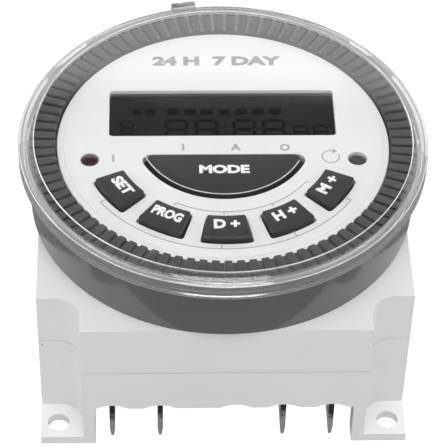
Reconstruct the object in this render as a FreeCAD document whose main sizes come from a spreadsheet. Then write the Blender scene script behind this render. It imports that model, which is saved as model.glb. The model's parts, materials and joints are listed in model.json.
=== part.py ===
import FreeCAD, Part
import os
import re
import Sketcher

# Round programmable timer on a square base, with push-on tabs under it.
# Millimetres. The origin is the centre of the four fixing holes, on the plane
# that the feet stand on. +Z runs up the dial's axis and -Y is the terminal side.

V = FreeCAD.Vector
doc = FreeCAD.newDocument("programmable_timer")

sizes = {
    # square base
    "body_x": 54.4,
    "body_y": 55.6,
    "underside_z": 7.9,
    "split_z": 15.85,
    "shoulder_z": 24.95,
    "body_wall": 1.2,
    "floor_wall": 1.6,
    "notch_x": 6.35,
    "notch_y": 6.4,
    "notch_round": 3.7,
    "leg_wall": 1.8,
    "foot_thick": 1.5,
    "foot_hole": 1.6,
    "hole_inset_x": 2.6,
    "hole_inset_y": 2.85,
    "throat_radius": 22.0,
    "past": 1.0,
    "weld": 0.2,
    # terminals
    "blade_wide": 6.3,
    "blade_thick": 0.8,
    "blade_inset": 0.8,
    "blade_tip_z": 0.15,
    "blade_tip_chamfer": 0.5,
    "blade_tip_tall": 0.9,
    "blade_tip_thick": 0.32,
    "blade_taper": 2.2,
    "blade_pin": 2.4,
    "blade_pin_shift": 0.6,
    "blade_pin_proud": 1.0,
    "blade_eye_radius": 0.8,
    "blade_eye_rise": 3.2,
    "left_blade_inset": 4.3,
    "right_blade_inset": 5.0,
    "blade_pitch": 7.1,
    "scallop_radius": 4.1,
    "scallop_deep": 0.7,
    "scallop_long": 12.0,
    # case screws and bosses
    "case_boss_inset_x": 3.8,
    "case_boss_inset_y": 6.2,
    "case_boss_radius": 2.6,
    "case_screw_long": 12.0,
    "case_head_sunk": 0.2,
    "bezel_screw_long": 5.4,
    "screw_radius": 1.1,
    "screw_head": 2.0,
    "screw_head_tall": 1.1,
    "screw_recess": 0.9,
    "screw_recess_deep": 0.7,
    "screw_gap": 0.05,
    "screw_clearance": 0.2,
    "relief_gap": 0.3,
    # round bezel
    "skirt_radius": 28.5,
    "skirt_wall": 1.2,
    "skirt_tall": 9.35,
    "crown_step": 0.3,
    "crown_wide": 3.53,
    "crown_tall": 1.5,
    "shelf_wide": 0.9,
    "shelf_thick": 1.0,
    "tooth_count": 90,
    "groove_wide": 0.62,
    "groove_deep": 0.55,
    "long_boss_inset": 3.6,
    "long_boss_radius": 2.5,
    "short_boss_inset": 3.9,
    "short_boss_radius": 1.9,
    # dial plate
    "dial_sunk": 0.85,
    "dial_thick": 1.2,
    "dial_fit": 0.07,
    "dial_rim": 1.2,
    "dial_step": 0.1,
    # clear cover
    "cover_gap": 0.4,
    "cover_thick": 0.8,
    "cover_fit": 0.2,
    "cover_lip": 1.3,
    "cover_slope": 2.2,
    "cover_drop": 0.8,
    "cover_corner": 0.6,
    "cover_hang": 0.4,
    "tab_wide": 3.7,
    "tab_overlap": 1.2,
    "tab_proud": 0.8,
    "tab_thick": 1.7,
    "tab_drop": 1.1,
    "tab_round": 0.3,
    "tab_turn": 10.3,
    # display
    "window_x": 33.5,
    "window_y": 9.9,
    "window_mid_y": 6.35,
    "window_round": 0.6,
    "window_sunk": 0.55,
    "window_thick": 0.75,
    "lens_fit": 0.05,
    "panel_margin_x": 1.6,
    "panel_margin_y": 1.1,
    "panel_thick": 2.2,
    "frame_wall": 1.0,
    "frame_fit": 0.1,
    "strip_tall": 0.8,
    "strip_wide": 1.6,
    "strip_inset": 1.0,
    # keys
    "ring_key_inner": 15.95,
    "ring_key_outer": 20.5,
    "ring_key_half_turn": 9.75,
    "ring_key_step": 28.0,
    "ring_key_proud": 0.95,
    "ring_key_corner": 0.35,
    "ring_key_edge": 0.3,
    "big_key_radius": 12.4,
    "big_key_mid_y": 1.2,
    "big_key_top_y": -2.8,
    "big_key_proud": 0.2,
    "big_key_corner": 1.0,
    "big_key_edge": 0.12,
    "key_gap": 0.25,
    "big_key_gap": 0.6,
    "key_flange": 0.75,
    "key_flange_turn": 2.0,
    "key_flange_thick": 0.9,
    "key_rest_gap": 0.1,
    "side_mark_x": 19.5,
    "side_mark_y": -3.6,
    "reset_radius": 1.3,
    "reset_sunk": 0.4,
    "reset_edge": 0.35,
    "led_radius": 1.25,
    "led_fit": 0.1,
    "led_flange": 1.6,
    "led_proud": 0.05,
    "led_edge": 0.3,
    "led_leg": 0.25,
    "led_leg_spread": 0.7,
    # silicone mat
    "mat_margin": 1.4,
    "mat_top_y": -1.5,
    "mat_thick": 0.6,
    "mat_led_gap": 0.3,
    "dome_gap": 0.05,
    "dome_radius": 2.2,
    "big_dome_radius": 3.2,
    "big_dome_drop": 4.9,
    "reset_dome_radius": 1.5,
    "dome_draft": 0.7,
    # boards
    "control_board_drop": 4.35,
    "control_board_thick": 1.0,
    "control_board_gap": 0.7,
    "board_rise": 1.4,
    "board_thick": 1.6,
    "board_side_gap": 0.65,
    "board_end_gap": 1.8,
    "board_rest": 3.0,
    "board_rest_inset_x": 3.0,
    "board_rest_inset_y": 10.0,
    "chip_side": 10.0,
    "chip_tall": 1.4,
    "chip_x": -8.0,
    "chip_y": -9.0,
    "crystal_radius": 1.0,
    "crystal_long": 6.2,
    "crystal_x": -17.0,
    "cell_radius": 5.8,
    "cell_tall": 5.4,
    "cell_x": 9.0,
    "cell_y": -10.0,
    "cell_edge": 0.6,
    "board_screw_radius": 0.75,
    "board_screw_head": 1.6,
    "board_screw_head_tall": 1.0,
    "board_screw_long": 2.5,
    "board_pilot_deep": 1.8,
    "link_pitch": 2.54,
    "link_pin_side": 0.64,
    "link_y": 17.5,
    "link_strip_rise": 6.0,
    "link_strip_side": 2.5,
    # parts on the power board
    "film_x": 7.0,
    "film_y": 15.0,
    "film_tall": 12.5,
    "film_mid_x": 10.5,
    "film_mid_y": 6.0,
    "film_round": 0.6,
    "can_radius": 4.0,
    "can_tall": 10.3,
    "can_x": -11.0,
    "can_y": -12.0,
    "can_edge": 0.5,
    "disc_radius": 5.0,
    "disc_thick": 3.4,
    "disc_rise": 6.0,
    "disc_x": 1.0,
    "disc_y": -9.0,
    "disc_leg": 0.35,
    "disc_leg_spread": 2.5,
    "resistor_radius": 1.6,
    "resistor_long": 9.0,
    "resistor_x": 11.0,
    "resistor_y": -13.0,
    "diode_radius": 1.2,
    "diode_long": 4.6,
    "diode_pitch": 3.2,
    "diode_mid_x": 1.0,
    "diode_y": -18.5,
    "lying_gap": 0.1,
    # relay
    "relay_x": 19.0,
    "relay_y": 15.5,
    "relay_z": 15.3,
    "relay_mid_x": -7.5,
    "relay_mid_y": 5.0,
    "relay_wall": 0.8,
    "relay_round": 0.7,
    "relay_base_tall": 1.5,
    "relay_base_fit": 0.1,
    "yoke_thick": 1.0,
    "yoke_wide": 9.0,
    "yoke_long": 14.0,
    "yoke_x": 0.2,
    "yoke_rise": 1.8,
    "core_radius": 1.6,
    "core_x": 2.5,
    "core_rise": 1.6,
    "core_fit": 0.1,
    "coil_radius": 4.6,
    "coil_tall": 8.6,
    "coil_cheek": 0.7,
    "coil_wound": 0.5,
    "coil_gap": 0.05,
    "armature_x": 14.4,
    "armature_y": 8.0,
    "armature_thick": 0.8,
    "armature_shift": 0.6,
    "armature_rise": 0.5,
    "armature_corner": 0.6,
}

# places and sizes that follow from the ones above
derived = {
    "half_x": "body_x / 2",
    "half_y": "body_y / 2",
    "floor_z": "underside_z + floor_wall",
    "roof_z": "shoulder_z - floor_wall",
    "hole_x": "half_x - hole_inset_x",
    "hole_y": "half_y - hole_inset_y",
    "left_blade_x": "left_blade_inset + notch_x - half_x",
    "empty_slot_x": "half_x - notch_x - right_blade_inset - 2 * blade_pitch",
    "blade_mid_y": "blade_inset + blade_wide / 2 - half_y",
    "case_boss_x": "half_x - body_wall - case_boss_inset_x",
    "case_boss_y": "half_y - notch_y - body_wall - case_boss_inset_y",
    "power_board_x": "body_x - 2 * (notch_x + body_wall + board_side_gap)",
    "power_board_y": "body_y - 2 * (body_wall + board_end_gap)",
    "board_low_z": "floor_z + board_rise",
    "power_board_z": "board_low_z + board_thick",
    "case_head_z": "underside_z + case_head_sunk",
    "bezel_head_z": "roof_z - screw_head_tall",
    "skirt_top_z": "shoulder_z + skirt_tall",
    "crown_z": "skirt_top_z + crown_tall",
    "crown_radius": "skirt_radius - crown_step",
    "crown_bore": "crown_radius - crown_wide",
    "long_boss_ring": "skirt_radius - long_boss_inset",
    "short_boss_ring": "skirt_radius - short_boss_inset",
    "dial_z": "crown_z - dial_sunk",
    "dial_low_z": "dial_z - dial_thick",
    "shelf_low_z": "dial_low_z - shelf_thick",
    "cover_z": "crown_z + cover_gap + cover_thick",
    "cover_shoulder_z": "cover_z - cover_drop",
    "cover_low_z": "skirt_top_z - cover_hang",
    "cover_bore": "skirt_radius + cover_fit",
    "cover_radius": "cover_bore + cover_lip",
    "cover_flat": "cover_radius - cover_slope",
    "tab_reach": "cover_radius + tab_proud",
    "flange_top_z": "dial_low_z - key_rest_gap",
    "flange_low_z": "flange_top_z - key_flange_thick",
    "control_board_z": "dial_z - control_board_drop",
    "control_low_z": "control_board_z - control_board_thick",
    "control_board_radius": "skirt_radius - skirt_wall - control_board_gap",
    "mat_radius": "ring_key_outer + mat_margin",
    "panel_x": "window_x + 2 * panel_margin_x",
    "panel_y": "window_y + 2 * panel_margin_y",
    "yoke_z": "power_board_z + relay_base_tall",
    "coil_x": "relay_mid_x + core_x",
    "armature_z": "yoke_z + coil_tall + yoke_rise + armature_rise",
}

sheet = doc.addObject("Spreadsheet::Sheet", "Sizes")
for row, (size_name, value) in enumerate({**sizes, **derived}.items(), start=1):
    sheet.set(f"A{row}", size_name.replace("_", " "))
    sheet.setAlias(f"B{row}", size_name)
    sheet.set(f"B{row}", f"={value}" if size_name in derived else str(value))
doc.recompute()


def formula(text):
    """the text with each size's name pointed at its cell"""
    known = {**sizes, **derived}
    return re.sub(
        r"[a-z][a-z_0-9]*",
        lambda word: f"Sizes.{word[0]}" if word[0] in known else word[0],
        str(text),
    )


def number(text):
    """what a formula comes to now"""
    return float(sheet.evalExpression(formula(text)))


def bind(item, **texts):
    for prop, text in texts.items():
        item.setExpression(prop, formula(text))


def place(item, x="0", y="0", z="0", turn=None):
    """moves an item by formulas, and turns it about its own vertical axis"""
    for axis, text in zip("xyz", (x, y, z)):
        if str(text) != "0":
            item.setExpression(f".Placement.Base.{axis}", formula(text))
    if turn is not None:
        item.setExpression(".Placement.Rotation.Angle", formula(turn))
    return item


def block(name, x, y, z, long, wide, tall):
    """box with its lowest corner at x, y, z"""
    item = doc.addObject("Part::Box", name)
    bind(item, Length=long, Width=wide, Height=tall)
    return place(item, x, y, z)


def centred_block(name, x, y, z, long, wide, tall):
    return block(name, f"{x} - ({long}) / 2", f"{y} - ({wide}) / 2", z, long, wide, tall)


def post(name, x, y, z, radius, tall, sweep="360", turn=None):
    """upright cylinder, or a slice of one"""
    item = doc.addObject("Part::Cylinder", name)
    bind(item, Radius=radius, Height=tall, Angle=sweep)
    return place(item, x, y, z, turn)


def lying_rod(name, direction, x, y, z, radius, long):
    """cylinder along X or Y, centred on x, y, z"""
    item = doc.addObject("Part::Cylinder", name)
    bind(item, Radius=radius, Height=long)
    if direction == "x":
        item.Placement.Rotation = FreeCAD.Rotation(V(0, 1, 0), 90)
        return place(item, f"{x} - ({long}) / 2", y, z)
    item.Placement.Rotation = FreeCAD.Rotation(V(1, 0, 0), -90)
    return place(item, x, f"{y} - ({long}) / 2", z)


def join(name, items):
    item = doc.addObject("Part::MultiFuse", name)
    item.Shapes = items
    item.Refine = True
    return item


def cut(name, solid, tools):
    tool = tools[0] if len(tools) == 1 else join(name + "_tools", tools)
    item = doc.addObject("Part::Cut", name)
    item.Base = solid
    item.Tool = tool
    item.Refine = True
    return item


def overlap(name, items):
    item = doc.addObject("Part::MultiCommon", name)
    item.Shapes = items
    return item


def group(name, items):
    """identical pieces that share one node"""
    item = doc.addObject("Part::Compound", name)
    item.Links = items
    return item


def rounded(name, solid, picks):
    """rounds the edges that each (test, radius formula) of picks chooses"""
    doc.recompute()
    item = doc.addObject("Part::Fillet", name)
    item.Base = solid
    chosen = []
    for index, edge in enumerate(solid.Shape.Edges, start=1):
        for test, radius in picks:
            if test(edge):
                chosen.append((index, number(radius), number(radius)))
                break
    item.Edges = chosen
    return item


def upright(edge):
    """true for a straight vertical edge"""
    ends = edge.Vertexes
    if len(ends) < 2:
        return False
    run = ends[1].Point - ends[0].Point
    return abs(run.z) > 1e-6 and abs(run.x) < 1e-6 and abs(run.y) < 1e-6


def at_height(edge, z):
    box = edge.BoundBox
    return abs(box.ZMin - z) < 1e-4 and abs(box.ZMax - z) < 1e-4


def drawing(body, name, plane, points):
    """closed straight-sided sketch whose corners are placed by formulas"""
    sketch = body.newObject("Sketcher::SketchObject", name)
    origin_plane = [f for f in body.Origin.OriginFeatures if f.Role == plane][0]
    sketch.AttachmentSupport = (origin_plane, [""])
    sketch.MapMode = "FlatFace"
    corners = [V(number(u), number(v), 0) for u, v in points]
    for here, ahead in zip(corners, corners[1:] + corners[:1]):
        sketch.addGeometry(Part.LineSegment(here, ahead))
    for index, (u, v) in enumerate(points):
        after = (index + 1) % len(points)
        sketch.addConstraint(Sketcher.Constraint("Coincident", index, 2, after, 1))
        for kind, axis, text in (("DistanceX", -2, u), ("DistanceY", -1, v)):
            if str(text) == "0":
                sketch.addConstraint(Sketcher.Constraint("PointOnObject", index, 1, axis))
                continue
            limit = Sketcher.Constraint(kind, -1, 1, index, 1, number(text))
            which = sketch.addConstraint(limit)
            sketch.setExpression(f"Constraints[{which}]", formula(text))
    return sketch


def turned(name, points):
    """body made by turning a radius and height outline about the vertical axis"""
    body = doc.addObject("PartDesign::Body", name)
    sketch = drawing(body, name + "_section", "XZ_Plane", points)
    spin = body.newObject("PartDesign::Revolution", name + "_turn")
    spin.Profile = sketch
    spin.ReferenceAxis = (sketch, ["V_Axis"])
    spin.Angle = 360
    return body


def slab(name, plane, points, thick):
    """body padded evenly to both sides of an origin plane"""
    body = doc.addObject("PartDesign::Body", name)
    pad = body.newObject("PartDesign::Pad", name + "_pad")
    pad.Profile = drawing(body, name + "_outline", plane, points)
    pad.SideType = "Symmetric"
    bind(pad, Length=thick)
    return body


pieces = []


def piece(item, label):
    """a finished sub-part, saved under its label"""
    item.Label = label
    pieces.append(item)
    return item


corners = [(sx, sy) for sx in (-1, 1) for sy in (-1, 1)]


def corner_fill(name, side, grow, z, tall):
    """prism that fills one corner notch, grown inwards, its inner edge rounded"""
    sx, sy = side
    inner_x = number(f"half_x - notch_x - {grow}") * sx
    inner_y = number(f"half_y - notch_y - {grow}") * sy
    long = f"notch_x + {grow}"
    wide = f"notch_y + {grow}"
    x = f"half_x - notch_x - {grow}" if sx > 0 else "-half_x"
    y = f"half_y - notch_y - {grow}" if sy > 0 else "-half_y"
    solid = block(name + "_box", x, y, z, long, wide, tall)

    def inner_edge(edge):
        middle = edge.CenterOfMass
        close = abs(middle.x - inner_x) < 1e-4 and abs(middle.y - inner_y) < 1e-4
        return upright(edge) and close

    return rounded(name, solid, [(inner_edge, f"notch_round + {grow}")])


def notched_block(name, inset, z, tall):
    """square prism with its four corners notched, its sides drawn in by inset"""
    solid = centred_block(
        name + "_square", "0", "0", z, f"body_x - 2 * {inset}", f"body_y - 2 * {inset}", tall
    )
    fills = []
    for count, side in enumerate(corners):
        fills.append(corner_fill(f"{name}_corner_{count}", side, inset, z, tall))
    return cut(name, solid, fills)


def case_bosses(name, z, radius, tall):
    bosses = []
    for count, (sx, sy) in enumerate(corners):
        x = f"{sx} * case_boss_x"
        y = f"{sy} * case_boss_y"
        bosses.append(post(f"{name}_{count}", x, y, z, radius, tall))
    return bosses


def ring_posts(name, ring, first_angle, z, radius, tall):
    """four posts a quarter turn apart on a circle"""
    posts = []
    for count in range(4):
        angle = first_angle + 90 * count
        x = f"{ring} * cos({angle})"
        y = f"{ring} * sin({angle})"
        posts.append(post(f"{name}_{count}", x, y, z, radius, tall))
    return posts


blade_places = [
    "left_blade_x",
    "left_blade_x + blade_pitch",
    "empty_slot_x + blade_pitch",
    "empty_slot_x + 2 * blade_pitch",
]


def lower_shell():
    walls = notched_block("lower_block", "0", "underside_z", "split_z - underside_z")
    hollow = notched_block("lower_hollow", "body_wall", "floor_z", "split_z - underside_z")
    bosses = case_bosses(
        "lower_boss", "floor_z - weld", "case_boss_radius", "split_z - floor_z + weld"
    )
    rests = []
    for count, (sx, sy) in enumerate(corners):
        rests.append(centred_block(
            f"board_rest_{count}", f"{sx} * (power_board_x / 2 - board_rest_inset_x)",
            f"{sy} * (power_board_y / 2 - board_rest_inset_y)", "floor_z - weld",
            "board_rest", "board_rest", "board_rise + weld",
        ))
    legs = []
    for count, side in enumerate(corners):
        outer = corner_fill(f"leg_outer_{count}", side, "leg_wall", "0", "underside_z + weld")
        notch = corner_fill(f"leg_notch_{count}", side, "0", "0", "underside_z + weld")
        legs.append(cut(f"leg_{count}", outer, [notch]))
        legs.append(corner_fill(f"foot_{count}", side, "0", "0", "foot_thick"))
    solid = join("lower_solid", [cut("lower_tray", walls, [hollow])] + bosses + rests + legs)
    tools = case_bosses("lower_screw_hole", "0", "screw_radius + screw_clearance", "split_z")
    tools += case_bosses(
        "lower_head_hole", "0", "screw_head + screw_clearance",
        "case_head_z + screw_head_tall + screw_clearance / 2",
    )
    for count, (sx, sy) in enumerate(corners):
        tools.append(post(
            f"fixing_hole_{count}", f"{sx} * hole_x", f"{sy} * hole_y", "-past",
            "foot_hole", "foot_thick + 2 * past",
        ))
    for count, x in enumerate(blade_places + ["empty_slot_x"]):
        bow = lying_rod(
            f"scallop_bow_{count}", "y", x, "-half_y",
            "underside_z + scallop_deep - scallop_radius", "scallop_radius",
            "2 * scallop_long",
        )
        room = centred_block(
            f"scallop_room_{count}", x, "-half_y", "underside_z - screw_gap",
            "2 * scallop_radius", "2 * scallop_long", "scallop_deep + past",
        )
        tools.append(overlap(f"scallop_{count}", [bow, room]))
        tools.append(centred_block(
            f"blade_slot_{count}", x, "blade_mid_y", "underside_z - past",
            "blade_thick + 2 * screw_gap", "blade_wide + 2 * screw_gap",
            "board_low_z - underside_z + past",
        ))
    piece(cut("lower_shell_body", solid, tools), "lower_shell")


def upper_shell():
    block_up = notched_block("upper_block", "0", "split_z", "shoulder_z - split_z")
    hollow = notched_block("upper_hollow", "body_wall", "split_z - past", "roof_z - split_z + past")
    bosses = case_bosses(
        "upper_boss", "split_z", "case_boss_radius", "roof_z - split_z + weld"
    )
    solid = join("upper_solid", [cut("upper_tray", block_up, [hollow])] + bosses)
    tools = [post("throat", "0", "0", "split_z", "throat_radius", "shoulder_z - split_z + past")]
    tools += case_bosses(
        "upper_screw_hole", "split_z - past", "screw_radius + screw_gap",
        "case_head_z + screw_head_tall + case_screw_long - split_z + 2 * past",
    )
    tools += ring_posts(
        "bezel_screw_hole", "long_boss_ring", 45, "split_z", "screw_radius + screw_clearance",
        "shoulder_z - split_z + past",
    )
    piece(cut("upper_shell_body", solid, tools), "upper_shell")


def bezel():
    body = turned("bezel_blank", [
        ("skirt_radius - skirt_wall", "shoulder_z"),
        ("skirt_radius", "shoulder_z"),
        ("skirt_radius", "skirt_top_z"),
        ("crown_radius", "skirt_top_z"),
        ("crown_radius", "crown_z"),
        ("crown_bore", "crown_z"),
        ("crown_bore", "dial_low_z"),
        ("crown_bore - shelf_wide", "dial_low_z"),
        ("crown_bore - shelf_wide", "shelf_low_z"),
        ("skirt_radius - skirt_wall", "shelf_low_z"),
    ])
    sketch = drawing(body, "groove_outline", "XY_Plane", [
        ("crown_bore - past", "-groove_wide / 2"),
        ("crown_radius + past", "-groove_wide / 2"),
        ("crown_radius + past", "groove_wide / 2"),
        ("crown_bore - past", "groove_wide / 2"),
    ])
    bind(sketch, **{".AttachmentOffset.Base.z": "crown_z"})
    groove = body.newObject("PartDesign::Pocket", "groove")
    groove.Profile = sketch
    bind(groove, Length="groove_deep")
    doc.recompute()
    grooves = body.newObject("PartDesign::PolarPattern", "grooves")
    grooves.Originals = [groove]
    grooves.Axis = (sketch, ["N_Axis"])
    grooves.Angle = 360
    bind(grooves, Occurrences="tooth_count")
    body.Tip = grooves
    bosses = ring_posts(
        "long_boss", "long_boss_ring", 45, "shoulder_z", "long_boss_radius",
        "shelf_low_z - shoulder_z + weld",
    )
    bosses += ring_posts(
        "short_boss", "short_boss_ring", 0, "control_board_z", "short_boss_radius",
        "shelf_low_z - control_board_z + weld",
    )
    solid = join("bezel_solid", [body] + bosses)
    tools = ring_posts(
        "long_pilot", "long_boss_ring", 45, "shoulder_z - past", "screw_radius + screw_gap",
        "bezel_screw_long - floor_wall + 2 * past",
    )
    tools += ring_posts(
        "short_pilot", "short_boss_ring", 0, "control_board_z - past",
        "board_screw_radius + screw_gap", "board_pilot_deep + past",
    )
    piece(cut("bezel_body", solid, tools), "bezel")


def sector(name, inner, outer, half_turn, middle, z, tall):
    """slice of a ring, centred on an angle counted from the -Y side"""
    turn = f"{middle} - 90 - ({half_turn})"
    full = post(name + "_full", "0", "0", z, outer, tall, f"2 * ({half_turn})", turn)
    core = post(name + "_core", "0", "0", f"{z} - past", inner, f"{tall} + 2 * past")
    return cut(name, full, [core])


def half_moon(name, grow, top_grow, z, tall):
    """disc slice below a straight edge, its arc widened by grow and its straight edge by top_grow"""
    disc = post(name + "_disc", "0", "big_key_mid_y", z, f"big_key_radius + {grow}", tall)
    half = block(
        name + "_half", "-body_x", f"big_key_top_y + {top_grow} - body_y", z,
        "2 * body_x", "body_y", tall,
    )
    return overlap(name, [disc, half])


def round_uprights(name, solid, radius):
    return rounded(name, solid, [(upright, radius)])


ring_keys = {
    "clock_key": "-2 * ring_key_step",
    "timer_key": "-ring_key_step",
    "day_key": "0",
    "hour_key": "ring_key_step",
    "minute_key": "2 * ring_key_step",
}


def face_plate():
    disc = turned("dial_disc", [
        ("0", "dial_low_z"),
        ("crown_bore - dial_fit", "dial_low_z"),
        ("crown_bore - dial_fit", "dial_z - dial_step"),
        ("crown_bore - dial_rim", "dial_z - dial_step"),
        ("crown_bore - dial_rim", "dial_z"),
        ("0", "dial_z"),
    ])
    z = "dial_low_z - past"
    tall = "dial_thick + 2 * past"
    window = round_uprights(
        "window_cut",
        centred_block("window_block", "0", "window_mid_y", z, "window_x", "window_y", tall),
        "window_round",
    )
    moon = round_uprights(
        "moon_cut", half_moon("moon_block", "big_key_gap", "key_gap", z, tall),
        "big_key_corner + big_key_gap / 2",
    )
    tools = [window, moon]
    for name, middle in ring_keys.items():
        slot = sector(
            f"{name}_slot", "ring_key_inner - key_gap", "ring_key_outer + key_gap",
            "ring_key_half_turn + key_gap / ring_key_inner * 180 / pi", middle, z, tall,
        )
        tools.append(round_uprights(f"{name}_cut", slot, "ring_key_corner + key_gap / 2"))
    tools.append(post("led_cut", "-side_mark_x", "side_mark_y", z, "led_radius + led_fit", tall))
    tools.append(post(
        "reset_cut", "side_mark_x", "side_mark_y", z, "reset_radius + led_fit", tall
    ))
    piece(cut("dial_body", disc, tools), "face_plate")


def clear_cover():
    cap = turned("cover_cap", [
        ("0", "cover_z - cover_thick"),
        ("cover_flat - cover_fit", "cover_z - cover_thick"),
        ("cover_bore", "cover_shoulder_z - cover_corner"),
        ("cover_bore", "cover_low_z"),
        ("cover_radius", "cover_low_z"),
        ("cover_radius", "cover_shoulder_z"),
        ("cover_flat", "cover_z"),
        ("0", "cover_z"),
    ])
    tab = centred_block(
        "tab_block", "0", "(tab_reach + cover_flat + tab_overlap) / 2",
        "cover_shoulder_z - tab_drop", "tab_wide", "tab_reach - cover_flat - tab_overlap",
        "tab_thick",
    )
    tab = round_uprights("tab_rounded", tab, "tab_round")
    turned_tab = doc.addObject("Part::Compound", "tab")
    turned_tab.Links = [tab]
    place(turned_tab, turn="tab_turn")
    piece(join("cover_body", [cap, turned_tab]), "clear_cover")


def display():
    lens = round_uprights(
        "lens_rounded",
        centred_block(
            "lens_block", "0", "window_mid_y", "dial_z - window_sunk - window_thick",
            "window_x - 2 * lens_fit", "window_y - 2 * lens_fit", "window_thick",
        ),
        "window_round - lens_fit",
    )
    piece(lens, "display_window")
    panel = centred_block(
        "panel_block", "0", "window_mid_y", "control_board_z + strip_tall",
        "panel_x", "panel_y", "panel_thick",
    )
    piece(panel, "lcd_panel")
    outer = centred_block(
        "frame_outer", "0", "window_mid_y", "control_board_z",
        "panel_x + 2 * frame_wall", "panel_y + 2 * frame_wall", "panel_thick + strip_tall",
    )
    inner = centred_block(
        "frame_inner", "0", "window_mid_y", "control_board_z - past",
        "panel_x + 2 * frame_fit", "panel_y + 2 * frame_fit",
        "panel_thick + strip_tall + 2 * past",
    )
    piece(cut("frame_body", outer, [inner]), "lcd_frame")
    strips = []
    for side in (-1, 1):
        strips.append(centred_block(
            f"strip_{side + 1}", "0", f"window_mid_y + {side} * (panel_y - strip_wide) / 2",
            "control_board_z", "panel_x - 2 * strip_inset", "strip_wide", "strip_tall",
        ))
    piece(group("strips", strips), "zebra_strips")


def capped(name, solid, top_text, radius):
    """rounds the edges of a key's top face"""
    top = number(top_text)
    return rounded(name, solid, [(lambda edge: at_height(edge, top), radius)])


def ring_key(name, middle):
    cap = sector(
        f"{name}_sector", "ring_key_inner", "ring_key_outer", "ring_key_half_turn", middle,
        "flange_top_z", "dial_z + ring_key_proud - flange_top_z",
    )
    cap = round_uprights(f"{name}_corners", cap, "ring_key_corner")
    cap = capped(f"{name}_cap", cap, "dial_z + ring_key_proud", "ring_key_edge")
    flange = sector(
        f"{name}_flange", "ring_key_inner - key_flange", "ring_key_outer + key_flange",
        "ring_key_half_turn + key_flange_turn", middle, "flange_low_z", "key_flange_thick",
    )
    piece(join(f"{name}_body", [cap, flange]), name)


def keys():
    for name, middle in ring_keys.items():
        ring_key(name, middle)
    moon = half_moon(
        "moon_key", "0", "0", "flange_top_z", "dial_z + big_key_proud - flange_top_z"
    )
    moon = round_uprights("moon_key_corners", moon, "big_key_corner")
    moon = capped("moon_key_cap", moon, "dial_z + big_key_proud", "big_key_edge")
    flange = half_moon(
        "moon_flange", "key_flange", "key_flange", "flange_low_z", "key_flange_thick"
    )
    piece(join("moon_key_body", [moon, flange]), "manual_key")
    button = post(
        "reset_button", "side_mark_x", "side_mark_y", "flange_top_z", "reset_radius",
        "dial_z - reset_sunk - flange_top_z",
    )
    button = capped("reset_cap", button, "dial_z - reset_sunk", "reset_edge")
    base = post(
        "reset_flange", "side_mark_x", "side_mark_y", "flange_low_z",
        "reset_radius + key_flange", "key_flange_thick",
    )
    piece(join("reset_body", [button, base]), "reset_key")


def status_led():
    x, y = "-side_mark_x", "side_mark_y"
    barrel = post(
        "led_barrel", x, y, "flange_low_z + weld", "led_radius",
        "dial_z + led_proud - flange_low_z - weld",
    )
    barrel = capped("led_lens", barrel, "dial_z + led_proud", "led_edge")
    flange = post("led_flange_disc", x, y, "flange_low_z", "led_flange", "key_flange_thick")
    legs = []
    for side in (-1, 1):
        legs.append(post(
            f"led_leg_{side + 1}", f"{x} + {side} * led_leg_spread", y,
            "control_board_z", "led_leg", "flange_low_z - control_board_z + weld",
        ))
    piece(join("led_body", [barrel, flange] + legs), "status_led")


def keypad_mat():
    disc = post("mat_disc", "0", "0", "control_board_z", "mat_radius", "mat_thick")
    lower = block(
        "mat_half", "-mat_radius", "mat_top_y - 2 * mat_radius", "control_board_z",
        "2 * mat_radius", "2 * mat_radius", "mat_thick",
    )
    web = overlap("mat_web", [disc, lower])
    spots = {
        "moon": ("0", "big_key_top_y - big_dome_drop", "big_dome_radius"),
        "reset": ("side_mark_x", "side_mark_y", "reset_dome_radius"),
    }
    for name, middle in ring_keys.items():
        ring = "(ring_key_inner + ring_key_outer) / 2"
        spots[name] = (f"{ring} * sin({middle})", f"-({ring}) * cos({middle})", "dome_radius")
    domes = []
    for name, (x, y, radius) in spots.items():
        dome = doc.addObject("Part::Cone", f"{name}_dome")
        bind(
            dome, Radius1=radius, Radius2=f"{radius} * dome_draft",
            Height="flange_low_z - dome_gap - control_board_z - mat_thick / 2",
        )
        domes.append(place(dome, x, y, "control_board_z + mat_thick / 2"))
    solid = join("mat_solid", [web] + domes)
    hole = post(
        "mat_led_hole", "-side_mark_x", "side_mark_y", "control_board_z - past",
        "led_flange + mat_led_gap", "mat_thick + 2 * past",
    )
    piece(cut("mat_body", solid, [hole]), "keypad_mat")


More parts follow.
